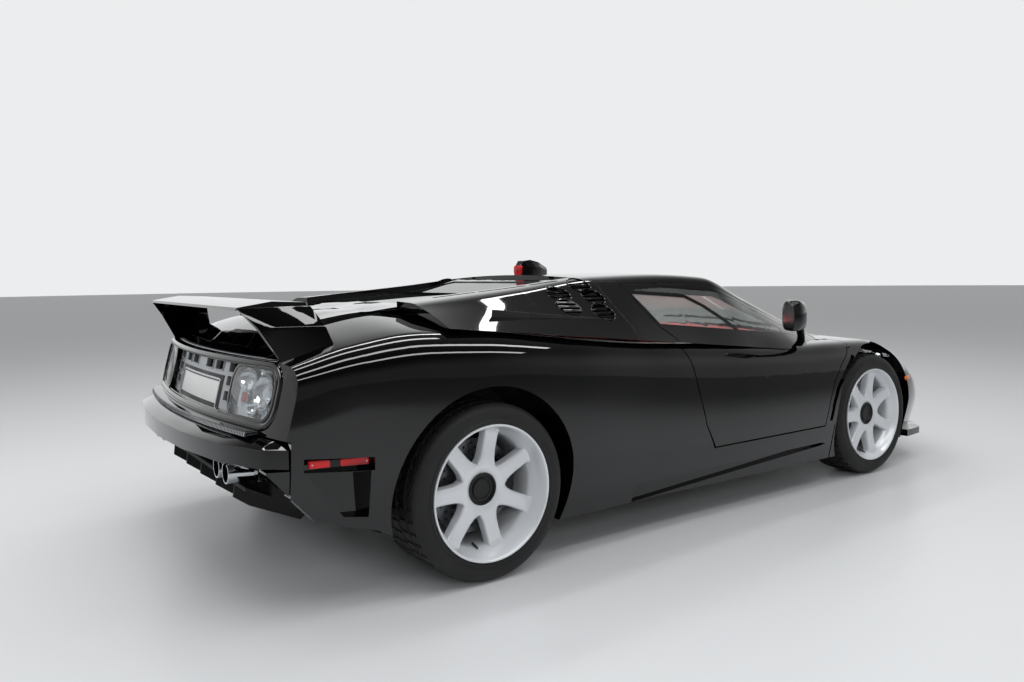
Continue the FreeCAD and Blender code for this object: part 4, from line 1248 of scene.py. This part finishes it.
@dataclass
class Pad:
    """One stuffed leather pad: a crowned block with pulled-in sides and sewn channels, in mm."""

    size: Triple
    crown: float = 0.16
    channels: int = 0
    channel_depth: float = 9.0

    def seam(self, u: float, v: float) -> float:
        """How far a sewn channel pulls the soft face in.

        Args:
            u: The place along the pad, from -1 to 1.
            v: The place across it, from -1 to 1.

        Returns:
            The pull, as a negative height.
        """
        phase = (v * 0.5 + 0.5) * (self.channels + 1)
        if not self.channels or round(phase) in (0, self.channels + 1):
            return 0.0
        return -self.channel_depth * math.exp(-((phase - round(phase)) / 0.09) ** 2) * (1 - abs(u) ** 6)

    def put(self, place: Triple, pitch: float = 0.0, roll: float = 0.0) -> Shape:
        """Builds the pad and puts it in its place.

        Args:
            place: The place of its middle, in mm.
            pitch: Its turn about Y, in degrees.
            roll: Its turn about X, which comes first.

        Returns:
            The pad, in metres.
        """
        bm = bmesh.new()
        bmesh.ops.create_cube(bm, size=2.0)
        bmesh.ops.subdivide_edges(bm, edges=bm.edges[:], cuts=11, use_grid_fill=True)
        long, wide, high = (s / 2 for s in self.size)
        for vert in bm.verts:
            u, v, w = vert.co
            pull = 1 - 0.05 * (1 - abs(u)) * abs(v) - 0.05 * (1 - abs(v)) * abs(u)
            fit = 1 - 0.16 * abs(u * v * w) - 0.06 * (abs(u * w) + abs(v * w)) / 2
            puff = self.crown * (1 - u * u) * (1 - v * v) * w * (1.0 if w > 0 else 0.2)
            seam = self.seam(u, v) if w > 0.5 else 0.0
            vert.co = (u * long * pull * fit, v * wide * pull * fit, w * high * fit + puff * high * 2 + seam)
        return moved(turned(bm, about("Y", pitch) @ about("X", roll)), *place)


@dataclass
class Cabin:
    """The red leather cabin."""

    seat_y: float = 370.0
    bolster: float = 212.0
    wheel_radius: float = 176.0
    dial_x: float = 506.0
    dial_z: float = 668.0
    dials: tuple[tuple[float, float], ...] = ((255, 38), (330, 52), (430, 52), (500, 34))

    def padded(self, name: str, bm: Shape, stands_for: str | None = None) -> None:
        """Makes one leather pad of a seat.

        Args:
            name: The piece's name.
            bm: Its mesh.
            stands_for: The CAD node that it replaces, if any.
        """
        piece = new_piece(name, bm, Finishes.leather, slot="leather", turn=80.0, stands_for=stands_for)
        smooth = piece.modifiers.new("smooth", "SUBSURF")
        smooth.levels = smooth.render_levels = 1

    def seats(self) -> None:
        """Both seats: cushion, back, head pad, base and side bolsters."""
        y = self.seat_y
        pads = [
            ("cushion", Pad((500, 372, 120), 0.12, 3), (-60, y, 232), 4, 0),
            ("back", Pad((470, 360, 110), 0.12, 3), (-322, y, 470), 75, 0),
            ("head", Pad((150, 236, 74), 0.2), (-386, y, 772), 82, 0),
            ("base", Pad((560, 470, 60), 0.0), (-110, y, 182), 0, 0),
        ]
        for name, at, lean in (("inner", y - self.bolster, -14), ("outer", y + self.bolster, 14)):
            pads.append(("thigh_" + name, Pad((480, 62, 130), 0.3), (-80, at, 254), 3, lean))
            pads.append(("wing_" + name, Pad((430, 62, 130), 0.3), (-300, at, 475), 76, lean))
        for side, hand in SIDES:
            for name, pad, place, pitch, roll in pads:
                node = "seats" if name == "cushion" else None
                self.padded(f"seat_{side}_{name}", on_side(pad.put(place, pitch, roll), hand), node)

    def wheel(self) -> None:
        """The steering wheel: leather rim, hub pad and three spokes."""
        rim = bmesh.new()
        bmesh.ops.create_circle(rim, segments=14, radius=15.0)
        turned(shifted(rim, self.wheel_radius), about("X", 90))
        bmesh.ops.spin(rim, geom=rim.verts[:] + rim.edges[:], cent=ORIGIN, axis=(0, 0, 1), angle=FULL_TURN,
                       steps=56, use_merge=True)
        bmesh.ops.remove_doubles(rim, verts=rim.verts, dist=0.01)
        spokes = [
            turned(shifted(block((140, 34, 10), 4), 100, 0, -4), about("Z", turn)) for turn in (90, 270, 360)
        ]
        rows = [(-160, AXIS_GAP), (-160, 26), (-30, 30), (-8, 56), (4, 58), (12, 50), (16, AXIS_GAP)]
        hub = turned(lathe(rows, 40, False), about("X", 90))
        whole = turned(merge([outward(rim), *spokes, hub]), about("Y", 25) @ about("Y", -90))
        new_piece("steering_wheel_leather", moved(whole, 455, 365, 640), Finishes.leather, slot="leather",
                  turn=40.0, stands_for="steering_wheel")

    def controls(self) -> None:
        """The instrument hood, the pad on the dashboard, the dials and the gear lever."""
        f = Finishes
        hood = Pad((150, 400, 62), 0.25).put((610, 365, 712), 6)
        new_piece("instrument_hood", hood, f.dark_leather, slot="leather", turn=80.0)
        top = Pad((330, 1330, 104), 0.22).put((742, 0, 738), 5)
        new_piece("dash_top_pad", top, f.leather, slot="leather", turn=80.0)
        faces, rims = [], []
        for y, r in self.dials:
            dial = lathe([(0, AXIS_GAP), (0, r)], 32, False)
            rim = lathe([(-6, r), (4, r), (5, r + 3), (-6, r + 5)], 32)
            for bm in (dial, rim):
                turned(turned(bm, about("Z", 90)), about("Y", -18))
            faces.append(moved(dial, self.dial_x, y, self.dial_z))
            rims.append(moved(rim, self.dial_x - 2, y, self.dial_z))
        new_piece("dial_faces", merge(faces), f.trim)
        new_piece("dial_rims", merge(rims), f.bright, slot="silver")
        rows = [(0, 36), (10, 30), (24, 12), (60, 6), (96, 6), (104, 18), (122, 24), (140, 16)]
        lever = turned(lathe([(0, AXIS_GAP), *rows, (144, AXIS_GAP)], 28, False), about("X", 90))
        new_piece("gear_lever", moved(lever, 250, 0, 332), f.bright, slot="silver")

    def build(self) -> None:
        """Builds the cabin."""
        self.seats()
        self.wheel()
        self.controls()


@dataclass
class Trim:
    """Smaller pieces: port rings, pod lens, repeaters, front lamps, mirrors, wiper, seals, meshes; in mm."""

    skins: BodySkins
    # x and y of each port on the flat panel, its slats' height and their tilt in degrees
    ports: tuple[Sides, ...] = (
        (-709, 644, -11, 28), (-556, 594, -11, 28), (-537, 668, -11, 28), (-720, 726, 2, 8),
        (-552, 751, -11, 28),
    )
    port_radius: float = 54.0
    slat_step: float = 28.0
    mirror: Triple = (412.5, 985, 900)
    wiper_lift: float = 16.0
    outlet_slats: tuple[float, ...] = (1722, 1760, 1798, 1836)

    def port_rings(self) -> None:
        """A slim ring and three round-edged slats in each port, square to the smooth panel."""
        rows = SmoothRows(UPPER)
        for side, hand in SIDES:
            rings, slats = [], []
            for x, y, level, tilt in self.ports:
                belt_y, edge, edge_z, *_ = rows.at(x, False)
                rise = (edge_z - BELT_Z + BELT_FALL * x) / (belt_y - edge)
                look = self.skins.grids[1].nearest(Vector((x, y, edge_z - (y - edge) * rise)) * MM)
                across = look.normal.cross(Vector((1, 0, 0))).normalized()
                turn = Matrix((across.cross(look.normal), across, look.normal)).transposed()
                port = lathe([(-5, 54.5), (0.6, 55), (1.8, 57), (1.4, 59.5), (-5, 60.5)], 44)
                rings.append(moved(turned(turned(port, about("X", 90)), turn), *(look.place / MM)))
                for at in (-self.slat_step, 0, self.slat_step):
                    slat = block((2 * math.sqrt(self.port_radius ** 2 - at ** 2), 21, 4), 1.8)
                    shifted(turned(slat, about("X", tilt)), 0, at, level)
                    slats.append(moved(turned(slat, turn), *(look.place / MM)))
            new_piece(f"port_rings_{side}", on_side(merge(rings), hand), Finishes.chrome)
            new_piece(f"port_slats_{side}", on_side(merge(slats), hand), Finishes.paint)

    def small_lenses(self) -> None:
        """The dark red lens in the back of the roof pod, and the small amber ones on the front corners."""
        pod = moved(slab((-36, 36, 1112, 1160), 14, 14, 4), -463, 0, 0)
        new_piece("pod_lens", pod, Finishes.red_lens, slot="lamp_glass")
        look = self.skins.grids[0].nearest(Vector((1.661, 0.9, 0.498)))
        facing = look.normal.to_track_quat("-X", "Z").to_matrix()
        for side, hand in SIDES:
            bm = turned(slab((-38, 38, -11, 11), 10, 10, 3), facing)
            bm = on_side(moved(bm, *(look.place / MM + look.normal * 3)), hand)
            new_piece(f"repeater_{side}", bm, Finishes.amber_lens, slot="lamp_glass")

    def front_lamps(self) -> None:
        """Two round lamps a side under each clear cover."""
        for side, hand in SIDES:
            bowls, bulbs = [], []
            for x, y, z, r in ((1672, 660, 588, 36), (1590, 752, 612, 38)):
                rows = [(-34, AXIS_GAP), (-34, 14), (-26, 24), (-12, 33), (0, r), (0, r + 4), (-30, r + 4)]
                bowls.append(moved(turned(lathe(rows, 36, False), about("Z", -90)), x, y, z))
                rows = [(-10, AXIS_GAP), (-10, 24), (-4, 22), (4, 16), (8, AXIS_GAP)]
                bulbs.append(moved(turned(lathe(rows, 28, False), about("Z", -90)), x, y, z))
            new_piece(f"front_lamp_bowls_{side}", on_side(merge(bowls), hand), Finishes.bright, slot="silver")
            new_piece(f"front_lamp_bulbs_{side}", on_side(merge(bulbs), hand), Finishes.lens,
                      slot="lamp_glass")

    def mirrors(self) -> None:
        """Rounded mirror heads on their stalks, with their glass."""
        # x, y, z of each ring's middle, its half width and half height
        rows = [
            (414, 985, 900, 34, 60), (422, 985, 901, 43, 71), (450, 985, 902, 47, 75),
            (500, 981, 900, 42, 66), (535, 974, 893, 28, 46), (552, 970, 889, 10, 18),
        ]
        stalk = [
            (652, 868, 742, 26, 7), (606, 916, 768, 24, 7), (560, 950, 798, 22, 8), (515, 976, 832, 24, 9),
            (486, 984, 860, 26, 12),
        ]
        x, y, z = self.mirror
        for side, hand in SIDES:
            head, glass = bmesh.new(), bmesh.new()
            self.rings(head, rows, 20, True)
            self.rings(head, stalk, 14, False)
            bmesh.ops.create_circle(glass, cap_ends=True, segments=28, radius=1.0)
            for vert in turned(glass, about("Y", -90)).verts:
                vert.co = (x, y + 31 * self.square(vert.co.y), z + 56 * self.square(vert.co.z))
            for bm in (head, glass):
                outward(scaled(bm, MM, MM * hand, MM))
            new_piece(f"mirror_{side}_shell", head, Finishes.paint, "door_" + side, "paint", 60.0,
                      "mirror_" + side)
            new_piece(f"mirror_{side}_glass", glass, Finishes.bright, "door_" + side, "silver")

    @staticmethod
    def square(t: float) -> float:
        """Squares a circle a little, for rounded rectangles."""
        return math.copysign(abs(t) ** 0.55, t)

    def rings(self, bm: Shape, rows: list[tuple[float, ...]], segments: int, boxy: bool) -> None:
        """Bridges closed rings from row to row and caps the ends.

        Args:
            bm: The mesh that they are added to.
            rows: x, y, z of each ring's middle, its half width and half height.
            segments: The points of each ring.
            boxy: Whether the rings are squared.
        """
        loops = []
        for x, y, z, wide, high in rows:
            made = bmesh.ops.create_circle(bm, segments=segments, radius=1.0)["verts"]
            for vert in made:
                a, b = (self.square(t) if boxy else t for t in vert.co[:2])
                vert.co = (x, y + wide * a, z + high * b)
            loops.append([e for e in bm.edges if e.verts[0] in made and e.verts[1] in made])
        for a, b in zip(loops, loops[1:]):
            bmesh.ops.bridge_loops(bm, edges=a + b)
        for loop in (loops[0], loops[-1]):
            bmesh.ops.holes_fill(bm, edges=loop, sides=0)

    def wiper(self) -> None:
        """The one long wiper, parked along the foot of the windscreen."""
        rows, points = SmoothRows(UPPER), []
        for x, y in ((968, -470), (948, -300), (930, -100), (918, 100), (908, 300)):
            _, edge, edge_z, _, crown = rows.at(x, True)
            points.append(Vector((x, y, crown - (crown - edge_z) * (y / edge) ** 2 + self.wiper_lift)))
        new_piece("wiper", chain(points, (9, 14), 3, 3), Finishes.trim)

    def seals(self) -> None:
        """The rubber seal at the bottom of the groove under the port panels."""
        rows, inset = SmoothRows(UPPER), 34
        for side, hand in SIDES:
            spots = (-1150, -980, -810, -640, -480, -345)
            points = [Vector((x, rows.at(x, True)[0] - inset, BELT_Z - BELT_FALL * x)) for x in spots]
            seal = on_side(chain(points, (8, 44), 4, 2), hand)
            new_piece(f"belt_seal_{side}", seal, Finishes.rubber, slot="rubber")

    def front_meshes(self) -> None:
        """Dark mesh in the nose's mouth and in the radiator's outlet behind it, with the outlet's slats."""
        new_piece("mouth_mesh", moved(slab((-92, 92, 246, 372), 4, 3), 2153, 0, 0), Finishes.mesh)
        outlet = moved(turned(block((158, 880, 4), 1), about("Y", 23)), 1776, 0, 556)
        new_piece("outlet_mesh", outlet, Finishes.mesh)
        first = self.outlet_slats[0]
        slats = [
            moved(turned(block((34, 896, 5), 2), about("Y", -8)), x, 0, 618 - (x - first) * 0.42)
            for x in self.outlet_slats
        ]
        new_piece("outlet_slats", merge(slats), Finishes.trim)

    def build(self) -> None:
        """Builds every small piece."""
        self.port_rings()
        self.small_lenses()
        self.front_lamps()
        self.mirrors()
        self.wiper()
        self.seals()
        self.front_meshes()


@dataclass
class Wing:
    """The fixed wing with its swept end plates, in metres."""

    edge: float = 0.004
    sharp: float = 35.0

    def build(self) -> None:
        """Keeps the CAD's blade and end plates, with smooth edges."""
        bm = bmesh.new()
        bm.from_mesh(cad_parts["wing"].data)
        bmesh.ops.remove_doubles(bm, verts=bm.verts, dist=0.00005)
        bmesh.ops.dissolve_limit(bm, angle_limit=math.radians(1.0), verts=bm.verts, edges=bm.edges)
        piece = new_piece("wing_shell", bm, Finishes.paint, slot="paint", turn=28.0, stands_for="wing")
        bevel = piece.modifiers.new("soft_edges", "BEVEL")
        bevel.width, bevel.segments = self.edge, 3
        bevel.limit_method, bevel.angle_limit = "ANGLE", math.radians(self.sharp)
        bevel.harden_normals = True


class Role(Enum):
    """CAD nodes that may show, by what they are made of."""

    UNDERBODY = ("chassis", "diffuser", "knuckle_front_left", "knuckle_front_right", "rear_uprights")
    ENGINE = ("engine",)
    SILVER = ("tail_panel",)
    DARK_CHROME = ("tail_moulding",)
    DASH = ("dashboard",)
    DECK_GLASS = ("engine_glass",)
    PIPES = ("exhaust",)
    GLOSS = ("wing", "mirror_left", "mirror_right")
    LAMPS = ("rear_lamps",)
    PLATE = ("plate",)
    SEATS = ("seats", "steering_wheel")
    TYRES = tuple("tyre_" + e + "_" + s for e in ("front", "rear") for s in ("left", "right"))
    WHEELS = tuple("wheel_" + e + "_" + s for e in ("front", "rear") for s in ("left", "right"))


def dress_frame() -> None:
    """Gives every CAD node that may show its material."""
    f = Finishes
    made_of = {
        Role.UNDERBODY: f.structure, Role.ENGINE: f.caliper, Role.SILVER: f.silver,
        Role.DARK_CHROME: f.chrome, Role.DASH: f.dark_leather, Role.DECK_GLASS: f.deck_glass,
        Role.PIPES: f.bright, Role.GLOSS: f.paint, Role.LAMPS: f.lens, Role.PLATE: f.plate,
        Role.SEATS: f.leather, Role.TYRES: f.rubber, Role.WHEELS: f.alloy,
    }
    for role, finish in made_of.items():
        for name in role.value:
            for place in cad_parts[name].material_slots:
                place.material = finish.material()


@dataclass
class Studio:
    """The floor, the light and the camera, in metres and degrees."""

    lens: float = 28.6
    place: Triple = (-2.893, -3.376, 1.115)
    yaw: float = 35.33
    pitch: float = 2.03
    roll: float = 0.66
    shift_y: float = -0.037
    floor_size: float = 60.0
    # x and y of each ceiling strip, and its length
    strips: tuple[Triple, ...] = ((-0.4, -3.2, 6.5), (-0.4, -1.5, 6.5), (-1.5, 0.2, 4.3), (-0.4, 1.9, 6.5))
    strip_width: float = 0.35
    strip_height: float = 4.4
    watts_a_metre: float = 8.4

    def camera(self) -> None:
        """Puts the camera where the photograph was taken from."""
        data = bpy.data.cameras.new("camera")
        data.sensor_width, data.lens, data.shift_y = 36.0, self.lens, self.shift_y
        data.clip_start, data.clip_end = 0.05, 200.0
        yaw, pitch = math.radians(self.yaw), math.radians(self.pitch)
        ahead = Vector((math.sin(yaw) * math.cos(pitch), math.cos(yaw) * math.cos(pitch), -math.sin(pitch)))
        camera = bpy.data.objects.new("camera", data)
        bpy.context.scene.collection.objects.link(camera)
        turn = ahead.to_track_quat("-Z", "Y").to_matrix() @ about("Z", -self.roll)
        camera.matrix_world = Matrix.Translation(self.place) @ turn.to_4x4()
        bpy.context.scene.camera = camera

    def floor(self) -> None:
        """Lays the plain pale floor, round, so that no corner shows."""
        bm = bmesh.new()
        bmesh.ops.create_circle(bm, cap_ends=True, segments=96, radius=self.floor_size)
        new_piece("floor", bm, Finishes.floor, None)

    def lamp(self, name: str, place: Triple, aim: Triple, size: tuple[float, float], power: float,
             in_paint: bool = True) -> None:
        """Hangs one large soft light.

        Args:
            name: The lamp's name.
            place: Where it hangs.
            aim: Where it points.
            size: Its length and width.
            power: Its power, in watts.
            in_paint: Whether glossy surfaces mirror it.
        """
        data = bpy.data.lights.new(name, "AREA")
        data.shape, data.size, data.size_y, data.energy = "RECTANGLE", *size, power
        lamp = bpy.data.objects.new(name, data)
        bpy.context.scene.collection.objects.link(lamp)
        lamp.location = place
        lamp.rotation_euler = (Vector(aim) - Vector(place)).to_track_quat("-Z", "Y").to_euler()
        lamp.visible_camera = False
        lamp.visible_glossy = in_paint

    def world(self) -> None:
        """A pale room: lighter towards the wall behind the car, dimmer behind the camera and overhead."""
        world = bpy.data.worlds.new("room")
        bpy.context.scene.world = world
        world.use_nodes = True
        tree = world.node_tree
        tree.nodes.clear()
        ray = add(tree, "ShaderNodeTexCoord").outputs["Generated"]
        yaw = math.radians(self.yaw)
        ahead = {0: ray, 1: (math.sin(yaw), math.cos(yaw), 0.1)}
        far = add(tree, "ShaderNodeVectorMath", ahead, operation="DOT_PRODUCT").outputs["Value"]
        up = add(tree, "ShaderNodeSeparateXYZ", {0: ray}).outputs["Z"]
        ramps = ({0: far, 1: -0.35, 2: 0.8, 3: 0.22, 4: 0.88}, {0: up, 1: 0.3, 2: 0.68, 3: 1.0, 4: 0.13})
        fades = [add(tree, "ShaderNodeMapRange", ramp, interpolation_type="SMOOTHSTEP") for ramp in ramps]
        both = {i: fade.outputs[0] for i, fade in enumerate(fades)}
        share = add(tree, "ShaderNodeMath", both, operation="MULTIPLY").outputs[0]
        colour = add(tree, "ShaderNodeMix", {0: share}, data_type="RGBA")
        colour.inputs[6].default_value = (0.0, 0.0, 0.0, 1.0)
        colour.inputs[7].default_value = linear("#FAFBFC")
        glow = add(tree, "ShaderNodeBackground", {"Color": colour.outputs[2], "Strength": 1.0})
        add(tree, "ShaderNodeOutputWorld", {"Surface": glow.outputs[0]})

    def build(self) -> None:
        """Sets up the whole studio."""
        self.camera()
        self.floor()
        for x, y, length in self.strips:
            self.lamp(f"ceiling_strip_{y:.1f}", (x, y, self.strip_height), (x, y, 0.0),
                      (length, self.strip_width), self.watts_a_metre * length)
        self.lamp("ceiling", (0.0, 0.0, 5.5), (0.0, 0.0, 0.0), (13.0, 13.0), 420.0, False)
        self.lamp("rear_light", (-6.0, 1.0, 3.4), (-1.5, 0.0, 0.6), (2.2, 1.4), 70.0)
        self.lamp("fill_light", (-2.6, -6.5, 2.6), (-0.4, -0.6, 0.4), (4.5, 2.4), 130.0, False)
        self.lamp("cabin_light", (0.15, 0.0, 1.04), (0.15, 0.0, 0.0), (0.6, 0.7), 20.0, False)
        self.world()
        bpy.context.scene.view_settings.view_transform = "Standard"


def main() -> None:
    """Builds the studio, then the car's visible pieces in order."""
    logging.basicConfig(level=logging.INFO, format="%(message)s")
    Studio().build()
    dress_frame()
    skins = BodySkins()
    skins.build()
    # Axle's x, tyre's radius and width, y of the rim's outer face, depth of its lip
    for end, *sizes in (("front", 1280, 326.5, 245, 905, 36), ("rear", -1270, 326, 325, 964, 70)):
        for side, hand in SIDES:
            Wheel(f"{end}_{side}", *sizes, f"wheel_{end[0]}{side[0]}", hand).build()
    Tail().build()
    Cabin().build()
    Trim(skins).build()
    Wing().build()


if __name__ == "__main__":
    main()
